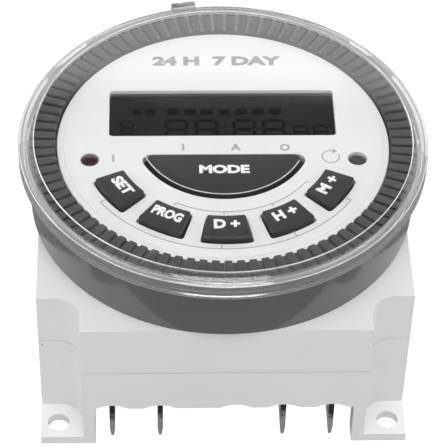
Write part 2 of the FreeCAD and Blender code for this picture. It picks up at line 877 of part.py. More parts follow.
def control_side():
    through = "control_board_thick + 2 * past"
    disc = post(
        "control_disc", "0", "0", "control_low_z", "control_board_radius", "control_board_thick"
    )
    tools = ring_posts(
        "boss_relief", "long_boss_ring", 45, "control_low_z - past",
        "long_boss_radius + relief_gap", through,
    )
    tools += ring_posts(
        "board_hole", "short_boss_ring", 0, "control_low_z - past",
        "board_screw_radius + 3 * screw_gap", through,
    )
    piece(cut("control_board_body", disc, tools), "control_board")
    chip = centred_block(
        "chip", "chip_x", "chip_y", "control_low_z - chip_tall",
        "chip_side", "chip_side", "chip_tall",
    )
    piece(chip, "control_chip")
    crystal = lying_rod(
        "crystal", "y", "crystal_x", "chip_y", "control_low_z - crystal_radius",
        "crystal_radius", "crystal_long",
    )
    piece(crystal, "quartz_crystal")
    cell = post("cell", "cell_x", "cell_y", "control_low_z - cell_tall", "cell_radius", "cell_tall")
    piece(capped("cell_body", cell, "control_low_z - cell_tall", "cell_edge"), "backup_battery")
    screws = []
    heads = ring_posts(
        "board_head", "short_boss_ring", 0, "control_low_z - board_screw_head_tall",
        "board_screw_head", "board_screw_head_tall",
    )
    shanks = ring_posts(
        "board_shank", "short_boss_ring", 0, "control_low_z - weld",
        "board_screw_radius", "board_screw_long + weld",
    )
    for count, (head, shank) in enumerate(zip(heads, shanks)):
        screws.append(join(f"board_screw_{count}", [head, shank]))
    piece(group("board_screw_set", screws), "board_screws")
    pins = []
    for count in range(6):
        pins.append(centred_block(
            f"link_pin_{count}", f"({count} - 5 / 2) * link_pitch", "link_y", "power_board_z",
            "link_pin_side", "link_pin_side", "control_low_z - power_board_z",
        ))
    strip = centred_block(
        "link_strip", "0", "link_y", "power_board_z + link_strip_rise",
        "6 * link_pitch", "link_strip_side", "link_strip_side",
    )
    piece(join("link_body", [strip] + pins), "board_link")


def screws():
    case = []
    heads = case_bosses("case_head", "case_head_z", "screw_head", "screw_head_tall")
    shanks = case_bosses(
        "case_shank", "case_head_z + screw_head_tall / 2", "screw_radius",
        "screw_head_tall / 2 + case_screw_long",
    )
    recess = case_bosses(
        "case_recess", "case_head_z - past", "screw_recess", "screw_recess_deep + past"
    )
    for count, (head, shank, hole) in enumerate(zip(heads, shanks, recess)):
        case.append(cut(f"case_screw_{count}", join(f"case_pin_{count}", [head, shank]), [hole]))
    piece(group("case_screw_set", case), "case_screws")
    bezel_set = []
    heads = ring_posts(
        "bezel_head", "long_boss_ring", 45, "bezel_head_z", "screw_head", "screw_head_tall"
    )
    shanks = ring_posts(
        "bezel_shank", "long_boss_ring", 45, "bezel_head_z + screw_head_tall / 2",
        "screw_radius", "screw_head_tall / 2 + bezel_screw_long",
    )
    for count, (head, shank) in enumerate(zip(heads, shanks)):
        bezel_set.append(join(f"bezel_screw_{count}", [head, shank]))
    piece(group("bezel_screw_set", bezel_set), "bezel_screws")


def terminal_blade(count, x):
    """flat push-on tab: tapered tip below, solder pin above"""
    half = "blade_wide / 2"
    pin_top = "power_board_z + blade_pin_proud"
    side = slab(f"blade_side_{count}", "YZ_Plane", [
        (f"blade_tip_chamfer - {half}", "blade_tip_z"),
        (f"{half} - blade_tip_chamfer", "blade_tip_z"),
        (half, "blade_tip_z + blade_tip_tall"),
        (half, "board_low_z"),
        ("blade_pin_shift + blade_pin / 2", "board_low_z"),
        ("blade_pin_shift + blade_pin / 2", pin_top),
        ("blade_pin_shift - blade_pin / 2", pin_top),
        ("blade_pin_shift - blade_pin / 2", "board_low_z"),
        (f"-{half}", "board_low_z"),
        (f"-{half}", "blade_tip_z + blade_tip_tall"),
    ], "blade_thick")
    front = slab(f"blade_front_{count}", "XZ_Plane", [
        ("-blade_tip_thick / 2", "blade_tip_z"),
        ("blade_tip_thick / 2", "blade_tip_z"),
        ("blade_thick / 2", "blade_tip_z + blade_taper"),
        ("blade_thick / 2", pin_top),
        ("-blade_thick / 2", pin_top),
        ("-blade_thick / 2", "blade_tip_z + blade_taper"),
    ], "blade_wide + 2 * past")
    blade = overlap(f"blade_flat_{count}", [side, front])
    eye = lying_rod(
        f"blade_eye_{count}", "x", "0", "0", "blade_tip_z + blade_eye_rise",
        "blade_eye_radius", "blade_thick + 2 * past",
    )
    body = cut(f"blade_{count}", blade, [eye])
    place(body, x, "blade_mid_y")
    piece(body, f"terminal_blade_{count + 1}")


def power_side():
    board = centred_block(
        "power_slab", "0", "0", "board_low_z", "power_board_x", "power_board_y", "board_thick"
    )
    slots = []
    for count, x in enumerate(blade_places):
        slots.append(centred_block(
            f"pin_slot_{count}", x, "blade_mid_y + blade_pin_shift", "board_low_z - past",
            "blade_thick + 4 * screw_gap", "blade_pin + 4 * screw_gap", "board_thick + 2 * past",
        ))
    piece(cut("power_board_body", board, slots), "power_board")
    film = centred_block(
        "film_box", "film_mid_x", "film_mid_y", "power_board_z", "film_x", "film_y", "film_tall"
    )
    piece(round_uprights("film_body", film, "film_round"), "dropper_capacitor")
    can = post("can", "can_x", "can_y", "power_board_z", "can_radius", "can_tall")
    piece(capped("can_body", can, "power_board_z + can_tall", "can_edge"), "smoothing_capacitor")
    disc = lying_rod(
        "varistor_disc", "x", "disc_x", "disc_y", "power_board_z + disc_rise",
        "disc_radius", "disc_thick",
    )
    legs = []
    for side in (-1, 1):
        legs.append(post(
            f"varistor_leg_{side + 1}", "disc_x", f"disc_y + {side} * disc_leg_spread",
            "power_board_z", "disc_leg", "disc_rise - disc_leg_spread",
        ))
    piece(join("varistor_body", [disc] + legs), "varistor")
    rod = lying_rod(
        "resistor_rod", "x", "resistor_x", "resistor_y",
        "power_board_z + resistor_radius + lying_gap", "resistor_radius", "resistor_long",
    )
    piece(rod, "dropper_resistor")
    diodes = []
    for count in range(4):
        diodes.append(lying_rod(
            f"diode_{count}", "y", f"({count} - 3 / 2) * diode_pitch + diode_mid_x", "diode_y",
            "power_board_z + diode_radius + lying_gap", "diode_radius", "diode_long",
        ))
    piece(group("diode_set", diodes), "rectifier_diodes")


def relay():
    x, y, z = "relay_mid_x", "relay_mid_y", "power_board_z"
    shell = centred_block("relay_shell", x, y, z, "relay_x", "relay_y", "relay_z")
    shell = round_uprights("relay_shell_rounded", shell, "relay_round")
    room = centred_block(
        "relay_room", x, y, f"{z} - past", "relay_x - 2 * relay_wall",
        "relay_y - 2 * relay_wall", "relay_z - relay_wall + past",
    )
    piece(cut("relay_case_body", shell, [room]), "relay_case")
    inset = "2 * (relay_wall + relay_base_fit)"
    base = centred_block(
        "relay_base_block", x, y, z, f"relay_x - {inset}", f"relay_y - {inset}",
        "relay_base_tall",
    )
    piece(base, "relay_base")
    foot = centred_block(
        "yoke_foot", f"{x} + yoke_x", y, "yoke_z", "yoke_long", "yoke_wide", "yoke_thick"
    )
    wall = centred_block(
        "yoke_wall", f"{x} + yoke_x - (yoke_long - yoke_thick) / 2", y, "yoke_z",
        "yoke_thick", "yoke_wide", "coil_tall + yoke_rise",
    )
    core = post("yoke_core", "coil_x", y, "yoke_z", "core_radius", "coil_tall + core_rise")
    piece(join("yoke_body", [foot, wall, core]), "relay_yoke")
    wound = "coil_radius - coil_wound"
    spool = turned("coil_spool", [
        ("core_radius + core_fit", "coil_gap"),
        ("coil_radius", "coil_gap"),
        ("coil_radius", "coil_gap + coil_cheek"),
        (wound, "coil_gap + coil_cheek"),
        (wound, "coil_tall - coil_cheek"),
        ("coil_radius", "coil_tall - coil_cheek"),
        ("coil_radius", "coil_tall"),
        ("core_radius + core_fit", "coil_tall"),
    ])
    place(spool, "coil_x", y, "yoke_z + yoke_thick")
    piece(spool, "relay_coil")
    arm = centred_block(
        "armature_plate", f"{x} + armature_shift", y, "armature_z",
        "armature_x", "armature_y", "armature_thick",
    )
    piece(round_uprights("armature_body", arm, "armature_corner"), "relay_armature")


lower_shell()
upper_shell()
bezel()
face_plate()
clear_cover()
display()
keys()
status_led()
keypad_mat()
control_side()
screws()
for blade_count, blade_x in enumerate(blade_places):
    terminal_blade(blade_count, blade_x)
power_side()
relay()
doc.recompute()

faulty = [o.Name for o in doc.Objects if "Invalid" in o.State or "Error" in o.State]
if faulty:
    raise RuntimeError(f"these did not build: {faulty}")
for item in pieces:
    if item.Shape.isNull() or not item.Shape.isValid() or not item.Shape.Solids:
        raise RuntimeError(f"{item.Label} has no sound solid")

os.makedirs("parts", exist_ok=True)
for item in pieces:
    item.Shape.exportStep(f"parts/{item.Label}.step")
    box = item.Shape.BoundBox
    print(
        f"{item.Label:20s} {len(item.Shape.Solids)} solid(s) {item.Shape.Volume:9.1f} mm3  "
        f"x {box.XMin:6.2f} {box.XMax:6.2f}  y {box.YMin:6.2f} {box.YMax:6.2f}  "
        f"z {box.ZMin:6.2f} {box.ZMax:6.2f}"
    )
print(len(pieces), "nodes")
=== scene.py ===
import json
import math
import bmesh
import bpy
from mathutils import Matrix, Vector


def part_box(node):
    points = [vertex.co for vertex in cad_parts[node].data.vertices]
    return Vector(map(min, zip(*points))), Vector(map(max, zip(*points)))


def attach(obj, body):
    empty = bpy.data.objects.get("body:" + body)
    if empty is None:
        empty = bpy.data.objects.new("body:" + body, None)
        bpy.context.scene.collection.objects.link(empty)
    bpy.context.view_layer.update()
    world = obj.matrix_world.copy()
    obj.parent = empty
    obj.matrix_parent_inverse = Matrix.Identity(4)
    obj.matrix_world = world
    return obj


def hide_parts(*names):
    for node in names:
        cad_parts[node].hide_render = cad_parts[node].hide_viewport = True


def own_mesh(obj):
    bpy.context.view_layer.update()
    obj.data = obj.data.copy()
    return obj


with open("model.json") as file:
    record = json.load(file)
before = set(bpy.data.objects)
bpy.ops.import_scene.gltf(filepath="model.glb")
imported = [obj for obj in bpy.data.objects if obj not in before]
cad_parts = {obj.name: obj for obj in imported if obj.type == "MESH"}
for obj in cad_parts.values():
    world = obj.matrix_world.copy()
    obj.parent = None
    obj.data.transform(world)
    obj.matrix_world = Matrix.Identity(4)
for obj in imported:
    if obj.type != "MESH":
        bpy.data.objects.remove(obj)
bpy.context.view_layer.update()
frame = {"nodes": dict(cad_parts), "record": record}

mm = 0.001
nodes = frame["nodes"]
print("frame loaded:", len(nodes), "nodes")


def low(node):
    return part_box(node)[0] / mm


def high(node):
    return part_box(node)[1] / mm


def middle(node):
    return (low(node) + high(node)) / 2


# anticlockwise corners (x, y, radius) as points, with every side moved inwards by inset
def roundedPolygon(corners, inset=0.0, steps=5):
    points = []
    for index, (x, y, radius) in enumerate(corners):
        before, after = corners[index - 1], corners[(index + 1) % len(corners)]
        inX, inY = x - before[0], y - before[1]
        outX, outY = after[0] - x, after[1] - y
        inLength, outLength = math.hypot(inX, inY), math.hypot(outX, outY)
        inX, inY, outX, outY = inX / inLength, inY / inLength, outX / outLength, outY / outLength
        turn = math.atan2(inX * outY - inY * outX, inX * outX + inY * outY)
        share = inset / (1 + inX * outX + inY * outY)
        cornerX, cornerY = x - (inY + outY) * share, y + (inX + outX) * share
        if radius == 0:
            points.append((cornerX, cornerY))
            continue
        side = 1 if turn > 0 else -1
        bend = max(radius - side * inset, 0.01)
        run = bend * math.tan(abs(turn) / 2)
        startX, startY = cornerX - inX * run, cornerY - inY * run
        centreX, centreY = startX - side * inY * bend, startY + side * inX * bend
        for step in range(steps + 1):
            angle = turn * step / steps
            dx, dy = startX - centreX, startY - centreY
            points.append((centreX + dx * math.cos(angle) - dy * math.sin(angle),
                           centreY + dx * math.sin(angle) + dy * math.cos(angle)))
    return points


def circle(radius, centre=(0, 0), count=96):
    def outline(inset=0.0):
        return [(centre[0] + (radius - inset) * math.cos(math.tau * k / count),
                 centre[1] + (radius - inset) * math.sin(math.tau * k / count)) for k in range(count)]
    return outline


def polygon(corners, steps=5):
    return lambda inset=0.0: roundedPolygon(corners, inset, steps)


def rectangle(x0, y0, x1, y1, radius, steps=6):
    return polygon([(x0, y0, radius), (x1, y0, radius), (x1, y1, radius), (x0, y1, radius)], steps)


def arcPoints(centre, radius, start, end, count):
    return [(centre[0] + radius * math.cos(start + (end - start) * k / count),
             centre[1] + radius * math.sin(start + (end - start) * k / count)) for k in range(count + 1)]


# ring slice with rounded corners; turn is counted in degrees from the side facing -Y
def sector(inner, outer, halfTurn, turn, corner):
    facing = math.radians(turn - 90)
    half = math.radians(halfTurn)

    def outline(inset=0.0):
        bend = max(corner - inset, 0.02)
        nearRing, farRing = inner + inset + bend, outer - inset - bend
        shrink = inset + bend
        nearTurn = half - math.asin(shrink / nearRing)
        farTurn = half - math.asin(shrink / farRing)
        points = []
        for side, ring, sweep in ((-1, farRing, farTurn), (1, farRing, farTurn)):
            at = facing + side * sweep
            centre = (ring * math.cos(at), ring * math.sin(at))
            if side < 0:
                points += arcPoints(centre, bend, facing - half - math.pi / 2, at, 6)
                points += arcPoints((0, 0), outer - inset, at, facing + farTurn, 12)[1:-1]
            else:
                points += arcPoints(centre, bend, at, facing + half + math.pi / 2, 6)
        for side in (1, -1):
            at = facing + side * nearTurn
            centre = (nearRing * math.cos(at), nearRing * math.sin(at))
            if side > 0:
                points += arcPoints(centre, bend, facing + half + math.pi / 2, at + math.pi, 6)
                points += arcPoints((0, 0), inner + inset, at, facing - nearTurn, 12)[1:-1]
            else:
                points += arcPoints(centre, bend, at + math.pi, facing - half + math.pi * 1.5, 6)
        return points
    return outline


# disc cut straight across its top, with rounded tips
def halfMoon(radius, midY, topY, corner, steps=44):
    def outline(inset=0.0):
        bend = max(corner - inset, 0.03)
        reach = radius - inset - bend
        tipY = topY - inset - bend
        tipX = math.sqrt(reach ** 2 - (tipY - midY) ** 2)
        slope = math.atan2(tipY - midY, tipX)
        points = arcPoints((0, midY), radius - inset, math.pi - slope, math.tau + slope, steps)
        points += arcPoints((tipX, tipY), bend, slope, math.pi / 2, 7)[1:]
        points += arcPoints((-tipX, tipY), bend, math.pi / 2, math.pi - slope, 7)[:-1]
        return points
    return outline


def makePiece(name, verts, faces, material, body, sharp=35, replaces=()):
    mesh = bpy.data.meshes.new(name)
    mesh.from_pydata([Vector(v) * mm for v in verts], [], faces)
    return dressMesh(name, mesh, material, body, sharp, replaces)


def dressMesh(name, mesh, material, body, sharp=35, replaces=()):
    work = bmesh.new()
    work.from_mesh(mesh)
    bmesh.ops.remove_doubles(work, verts=work.verts, dist=1e-7)
    bmesh.ops.recalc_face_normals(work, faces=work.faces)
    work.to_mesh(mesh)
    work.free()
    mesh.shade_smooth()
    mesh.set_sharp_from_angle(angle=math.radians(sharp))
    piece = bpy.data.objects.new(name, mesh)
    bpy.context.scene.collection.objects.link(piece)
    piece.data.materials.append(material)
    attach(piece, body)
    if replaces:
        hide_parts(*replaces)
    return piece


# side walls between outlines at (inset, z) levels, low to high, with flat ends
def ringStack(outline, levels, capLow=True, capTop=True):
    rings = [[(x, y, z) for x, y in outline(inset)] for inset, z in levels]
    count = len(rings[0])
    verts = [point for ring in rings for point in ring]
    faces = []
    for level in range(len(levels) - 1):
        for k in range(count):
            after = (k + 1) % count
            faces.append((level * count + k, level * count + after,
                          (level + 1) * count + after, (level + 1) * count + k))
    if capLow:
        faces.append(tuple(reversed(range(count))))
    if capTop:
        faces.append(tuple(range((len(levels) - 1) * count, len(levels) * count)))
    return verts, faces


# levels for walls that end in a rounded top edge
def softTop(bottom, top, edge, steps=4):
    levels = [(0.0, bottom)]
    for step in range(steps + 1):
        angle = math.pi / 2 * step / steps
        levels.append((edge * (1 - math.cos(angle)), top - edge * (1 - math.sin(angle))))
    return levels


def softBoth(bottom, top, edge, steps=3):
    levels = []
    for step in range(steps + 1):
        angle = math.pi / 2 * (1 - step / steps)
        levels.append((edge * (1 - math.cos(angle)), bottom + edge * (1 - math.sin(angle))))
    return levels + softTop(bottom, top, edge, steps)[1:]


# several (verts, faces) as one
def merge(parts):
    verts, faces = [], []
    for partVerts, partFaces in parts:
        faces += [tuple(index + len(verts) for index in face) for face in partFaces]
        verts += partVerts
    return verts, faces


# closed (radius, z) profile turned about Z; points on the axis are shared
def lathe(profile, count=192):
    verts, rows = [], []
    for radius, z in profile:
        if radius < 1e-6:
            rows.append([len(verts)] * count)
            verts.append((0, 0, z))
            continue
        rows.append(list(range(len(verts), len(verts) + count)))
        for k in range(count):
            angle = math.tau * k / count
            verts.append((radius * math.cos(angle), radius * math.sin(angle), z))
    faces = []
    for index, row in enumerate(rows):
        nextRow = rows[(index + 1) % len(rows)]
        if row[0] == row[1] and nextRow[0] == nextRow[1]:
            continue
        for k in range(count):
            after = (k + 1) % count
            corners = [row[k], row[after], nextRow[after], nextRow[k]]
            corners = [c for c, place in zip(corners, range(4)) if c not in corners[:place]]
            if len(corners) > 2:
                faces.append(tuple(corners))
    return verts, faces


# flat plate; its outside and every hole are outlines, and edge rounds their upper rims
def plateWithHoles(outer, holes, levels, edge):
    bottom, top = levels
    work = bmesh.new()
    topLoops, lowLoops = [], []

    def wall(outline, wallLevels):
        rings = []
        for inset, z in wallLevels:
            rings.append([work.verts.new(Vector((x, y, z)) * mm) for x, y in outline(inset)])
        for lower, upper in zip(rings[:-1], rings[1:]):
            for k in range(len(lower)):
                after = (k + 1) % len(lower)
                work.faces.new((lower[k], lower[after], upper[after], upper[k]))
        lowLoops.append(rings[0])
        topLoops.append(rings[-1])

    wall(outer, softTop(bottom, top, edge))
    for hole in holes:
        wall(hole, [(-inset, z) for inset, z in softTop(bottom, top, edge)])
    for loops in (lowLoops, topLoops):
        edges = []
        for loop in loops:
            for k in range(len(loop)):
                edges.append(work.edges.get((loop[k], loop[(k + 1) % len(loop)])))
        bmesh.ops.triangle_fill(work, edges=edges, use_beauty=True, use_dissolve=False)
    mesh = bpy.data.meshes.new("plate")
    work.to_mesh(mesh)
    work.free()
    return mesh


# shader group with float, colour or vector sockets; returns its tree and both ends
def startGroup(name, inputs, outputs):
    tree = bpy.data.node_groups.new(name, "ShaderNodeTree")
    kinds = {"f": "NodeSocketFloat", "c": "NodeSocketColor", "v": "NodeSocketVector"}
    for kind, label, default in inputs:
        socket = tree.interface.new_socket(label, in_out="INPUT", socket_type=kinds[kind])
        socket.default_value = default
    for kind, label in outputs:
        tree.interface.new_socket(label, in_out="OUTPUT", socket_type=kinds[kind])
    return tree, tree.nodes.new("NodeGroupInput"), tree.nodes.new("NodeGroupOutput")


def addNode(tree, kind, **settings):
    node = tree.nodes.new(kind)
    for key, value in settings.items():
        setattr(node, key, value)
    return node


def mapRange(tree, source, fromLow, fromHigh, toLow, toHigh):
    node = addNode(tree, "ShaderNodeMapRange")
    tree.links.new(source, node.inputs["Value"])
    limits = {"From Min": fromLow, "From Max": fromHigh, "To Min": toLow, "To Max": toHigh}
    for label, value in limits.items():
        if hasattr(value, "is_linked"):
            tree.links.new(value, node.inputs[label])
        else:
            node.inputs[label].default_value = value
    return node.outputs["Result"]


# noise over the object's own coordinates; scale is in features per metre
def noiseAt(tree, scale, detail=3.0, rough=0.55):
    place = addNode(tree, "ShaderNodeTexCoord")
    node = addNode(tree, "ShaderNodeTexNoise")
    node.inputs["Detail"].default_value = detail
    node.inputs["Roughness"].default_value = rough
    tree.links.new(place.outputs["Object"], node.inputs["Vector"])
    if hasattr(scale, "is_linked"):
        tree.links.new(scale, node.inputs["Scale"])
    else:
        node.inputs["Scale"].default_value = scale
    return node.outputs["Fac"]


# slow shade drift, fine spark-eroded grain and a roughness that follows the slow drift
def mouldedSurface():
    tree, start, end = startGroup("mouldedSurface", [
        ("c", "Color", (0.8, 0.8, 0.8, 1)), ("f", "Drift", 0.04), ("f", "Grain Scale", 9000.0),
        ("f", "Roughness", 0.4), ("f", "Roughness Spread", 0.08)],
        [("c", "Color"), ("f", "Roughness"), ("f", "Height")])
    slow = noiseAt(tree, 70.0)
    fine = noiseAt(tree, start.outputs["Grain Scale"], 2.0)
    negative = addNode(tree, "ShaderNodeMath", operation="MULTIPLY")
    tree.links.new(start.outputs["Drift"], negative.inputs[0])
    negative.inputs[1].default_value = -1.0
    shade = mapRange(tree, slow, 0.3, 0.7, negative.outputs[0], start.outputs["Drift"])
    plusOne = addNode(tree, "ShaderNodeMath", operation="ADD")
    tree.links.new(shade, plusOne.inputs[0])
    plusOne.inputs[1].default_value = 1.0
    scaled = addNode(tree, "ShaderNodeVectorMath", operation="SCALE")
    tree.links.new(start.outputs["Color"], scaled.inputs[0])
    tree.links.new(plusOne.outputs[0], scaled.inputs["Scale"])
    tree.links.new(scaled.outputs[0], end.inputs["Color"])
    spread = addNode(tree, "ShaderNodeMath", operation="MULTIPLY_ADD")
    centred = addNode(tree, "ShaderNodeMath", operation="SUBTRACT")
    tree.links.new(slow, centred.inputs[0])
    centred.inputs[1].default_value = 0.5
    tree.links.new(centred.outputs[0], spread.inputs[0])
    tree.links.new(start.outputs["Roughness Spread"], spread.inputs[1])
    tree.links.new(start.outputs["Roughness"], spread.inputs[2])
    tree.links.new(spread.outputs[0], end.inputs["Roughness"])
    tree.links.new(fine, end.inputs["Height"])
    return tree


# mask of sparse small specks
def dustSpecks():
    tree, start, end = startGroup(
        "dustSpecks", [("f", "Scale", 900.0), ("f", "Amount", 0.06)], [("f", "Mask")])
    place = addNode(tree, "ShaderNodeTexCoord")
    cells = addNode(tree, "ShaderNodeTexVoronoi", feature="F1")
    tree.links.new(place.outputs["Object"], cells.inputs["Vector"])
    tree.links.new(start.outputs["Scale"], cells.inputs["Scale"])
    chosen = addNode(tree, "ShaderNodeSeparateColor")
    tree.links.new(cells.outputs["Color"], chosen.inputs["Color"])
    rare = addNode(tree, "ShaderNodeMath", operation="LESS_THAN")
    tree.links.new(chosen.outputs[0], rare.inputs[0])
    tree.links.new(start.outputs["Amount"], rare.inputs[1])
    near = mapRange(tree, cells.outputs["Distance"], 0.10, 0.22, 1.0, 0.0)
    both = addNode(tree, "ShaderNodeMath", operation="MULTIPLY")
    tree.links.new(rare.outputs[0], both.inputs[0])
    tree.links.new(near, both.inputs[1])
    tree.links.new(both.outputs[0], end.inputs["Mask"])
    return tree


# mask of fine scattered scratches
def hairScratches():
    tree, start, end = startGroup(
        "hairScratches", [("f", "Scale", 260.0), ("f", "Amount", 0.5)], [("f", "Mask")])
    place = addNode(tree, "ShaderNodeTexCoord")
    bend = addNode(tree, "ShaderNodeMapping")
    bend.inputs["Scale"].default_value = (1.0, 0.06, 0.4)
    bend.inputs["Rotation"].default_value = (0.3, 0.2, 0.7)
    tree.links.new(place.outputs["Object"], bend.inputs["Vector"])
    streak = addNode(tree, "ShaderNodeTexNoise")
    streak.inputs["Detail"].default_value = 5.0
    tree.links.new(bend.outputs["Vector"], streak.inputs["Vector"])
    tree.links.new(start.outputs["Scale"], streak.inputs["Scale"])
    narrow = mapRange(tree, streak.outputs["Fac"], 0.62, 0.70, 0.0, start.outputs["Amount"])
    tree.links.new(narrow, end.inputs["Mask"])
    return tree


groups = {"moulded": mouldedSurface(), "dust": dustSpecks(), "scratches": hairScratches()}


def useGroup(tree, name, **values):
    node = addNode(tree, "ShaderNodeGroup", node_tree=groups[name])
    for label, value in values.items():
        node.inputs[label.replace("_", " ")].default_value = value
    return node


def mixColour(tree, factor, first, second):
    node = addNode(tree, "ShaderNodeMix", data_type="RGBA")
    for label, value in (("Factor", factor), ("A", first), ("B", second)):
        socket = node.inputs[label]
        if hasattr(value, "is_linked"):
            tree.links.new(value, socket)
        else:
            socket.default_value = value
    return node.outputs["Result"]


# moulded, coated or plated surface from the shared groups
def mouldedMaterial(name, colour, rough=0.4, spread=0.08, drift=0.03, grain=9000.0, bump=0.05,
                    metal=0.0, dust=0.0, dustColour=(0.7, 0.7, 0.7, 1), dustScale=900.0, coat=0.0):
    material = bpy.data.materials.new(name)
    material.use_nodes = True
    tree = material.node_tree
    shader = tree.nodes["Principled BSDF"]
    surface = useGroup(tree, "moulded", Color=(*colour, 1), Drift=drift, Grain_Scale=grain,
                       Roughness=rough, Roughness_Spread=spread)
    colourOut = surface.outputs["Color"]
    if dust:
        specks = useGroup(tree, "dust", Scale=dustScale, Amount=dust)
        colourOut = mixColour(tree, specks.outputs["Mask"], colourOut, dustColour)
    tree.links.new(colourOut, shader.inputs["Base Color"])
    tree.links.new(surface.outputs["Roughness"], shader.inputs["Roughness"])
    relief = addNode(tree, "ShaderNodeBump")
    relief.inputs["Strength"].default_value = bump
    relief.inputs["Distance"].default_value = 0.00005
    tree.links.new(surface.outputs["Height"], relief.inputs["Height"])
    tree.links.new(relief.outputs["Normal"], shader.inputs["Normal"])
    shader.inputs["Metallic"].default_value = metal
    shader.inputs["Coat Weight"].default_value = coat
    return material


# painted reflection: white streaks near the side wall of a clear moulding, a mask that grows with distance
# from the axis
def wallReflectionMask():
    tree, start, end = startGroup("wallReflectionMask", [
        ("f", "Inner Radius", 0.0287), ("f", "Outer Radius", 0.0289), ("f", "Amount", 0.4)], [("f", "Mask")])
    place = addNode(tree, "ShaderNodeTexCoord")
    flat = addNode(tree, "ShaderNodeVectorMath", operation="MULTIPLY")
    flat.inputs[1].default_value = (1, 1, 0)
    tree.links.new(place.outputs["Object"], flat.inputs[0])
    reach = addNode(tree, "ShaderNodeVectorMath", operation="LENGTH")
    tree.links.new(flat.outputs[0], reach.inputs[0])
    inner, outer = start.outputs["Inner Radius"], start.outputs["Outer Radius"]
    far = mapRange(tree, reach.outputs["Value"], inner, outer, 0.0, 1.0)
    streaks = mapRange(tree, noiseAt(tree, 230.0, 2.0, 0.5), 0.3, 0.7, 0.75, 1.0)
    both = addNode(tree, "ShaderNodeMath", operation="MULTIPLY")
    tree.links.new(far, both.inputs[0])
    tree.links.new(streaks, both.inputs[1])
    total = addNode(tree, "ShaderNodeMath", operation="MULTIPLY")
    tree.links.new(both.outputs[0], total.inputs[0])
    tree.links.new(start.outputs["Amount"], total.inputs[1])
    tree.links.new(total.outputs[0], end.inputs["Mask"])
    return tree


groups["paintedReflection"] = wallReflectionMask()


# polished clear moulding; lamps shine through it
def clearPlastic(name, tint=(0.97, 0.98, 0.98), rough=0.02):
    material = bpy.data.materials.new(name)
    material.use_nodes = True
    tree = material.node_tree
    shader = tree.nodes["Principled BSDF"]
    shader.inputs["Base Color"].default_value = (*tint, 1)
    shader.inputs["IOR"].default_value = 1.47
    scuffs = useGroup(tree, "scratches", Scale=240.0, Amount=0.04)
    surface = useGroup(tree, "moulded", Roughness=rough, Roughness_Spread=0.02, Grain_Scale=2500.0)
    total = addNode(tree, "ShaderNodeMath", operation="ADD")
    tree.links.new(surface.outputs["Roughness"], total.inputs[0])
    tree.links.new(scuffs.outputs["Mask"], total.inputs[1])
    tree.links.new(total.outputs[0], shader.inputs["Roughness"])
    shader.inputs["Transmission Weight"].default_value = 1.0
    lampRay = addNode(tree, "ShaderNodeLightPath")
    letThrough = addNode(tree, "ShaderNodeBsdfTransparent")
    letThrough.inputs["Color"].default_value = (0.93, 0.94, 0.94, 1)
    both = addNode(tree, "ShaderNodeMixShader")
    tree.links.new(lampRay.outputs["Is Shadow Ray"], both.inputs[0])
    tree.links.new(shader.outputs[0], both.inputs[1])
    tree.links.new(letThrough.outputs[0], both.inputs[2])
    tree.links.new(both.outputs[0], tree.nodes["Material Output"].inputs["Surface"])
    return material


# thin white layer just inside the side wall of the clear moulding: a painted reflection of the bright room on
# the sloping wall
def paintedReflectionFilm(amount=0.10):
    material = bpy.data.materials.new("paintedReflectionFilm")
    material.use_nodes = True
    tree = material.node_tree
    shader = tree.nodes["Principled BSDF"]
    surface = useGroup(tree, "moulded", Color=(0.95, 0.96, 0.96, 1), Drift=0.02, Roughness=0.5)
    tree.links.new(surface.outputs["Color"], shader.inputs["Base Color"])
    tree.links.new(surface.outputs["Roughness"], shader.inputs["Roughness"])
    paintedReflection = useGroup(tree, "paintedReflection", Amount=amount)
    tree.links.new(paintedReflection.outputs["Mask"], shader.inputs["Alpha"])
    return material


# plated strip, with painted shade darkening it towards its root, where it runs in under the case
def tabRootShadedMaterial():
    material = mouldedMaterial("nickelTab", (0.86, 0.85, 0.83), 0.24, 0.12, 0.12, 4000, 0.15, metal=1.0)
    tree = material.node_tree
    place = addNode(tree, "ShaderNodeTexCoord")
    axes = addNode(tree, "ShaderNodeSeparateXYZ")
    tree.links.new(place.outputs["Object"], axes.inputs[0])
    wander = mapRange(tree, noiseAt(tree, 900.0, 4.0), 0.3, 0.7, -0.0012, 0.0012)
    rise = addNode(tree, "ShaderNodeMath", operation="ADD")
    tree.links.new(axes.outputs["Z"], rise.inputs[0])
    tree.links.new(wander, rise.inputs[1])
    # painted shade: near-black colour mixed in towards the root of the strip
    dark = mapRange(tree, rise.outputs[0], 0.0044, 0.0058, 0.0, 0.93)
    shader = tree.nodes["Principled BSDF"]
    plain = shader.inputs["Base Color"].links[0].from_socket
    tree.links.new(mixColour(tree, dark, plain, (0.03, 0.03, 0.03, 1)), shader.inputs["Base Color"])
    return material


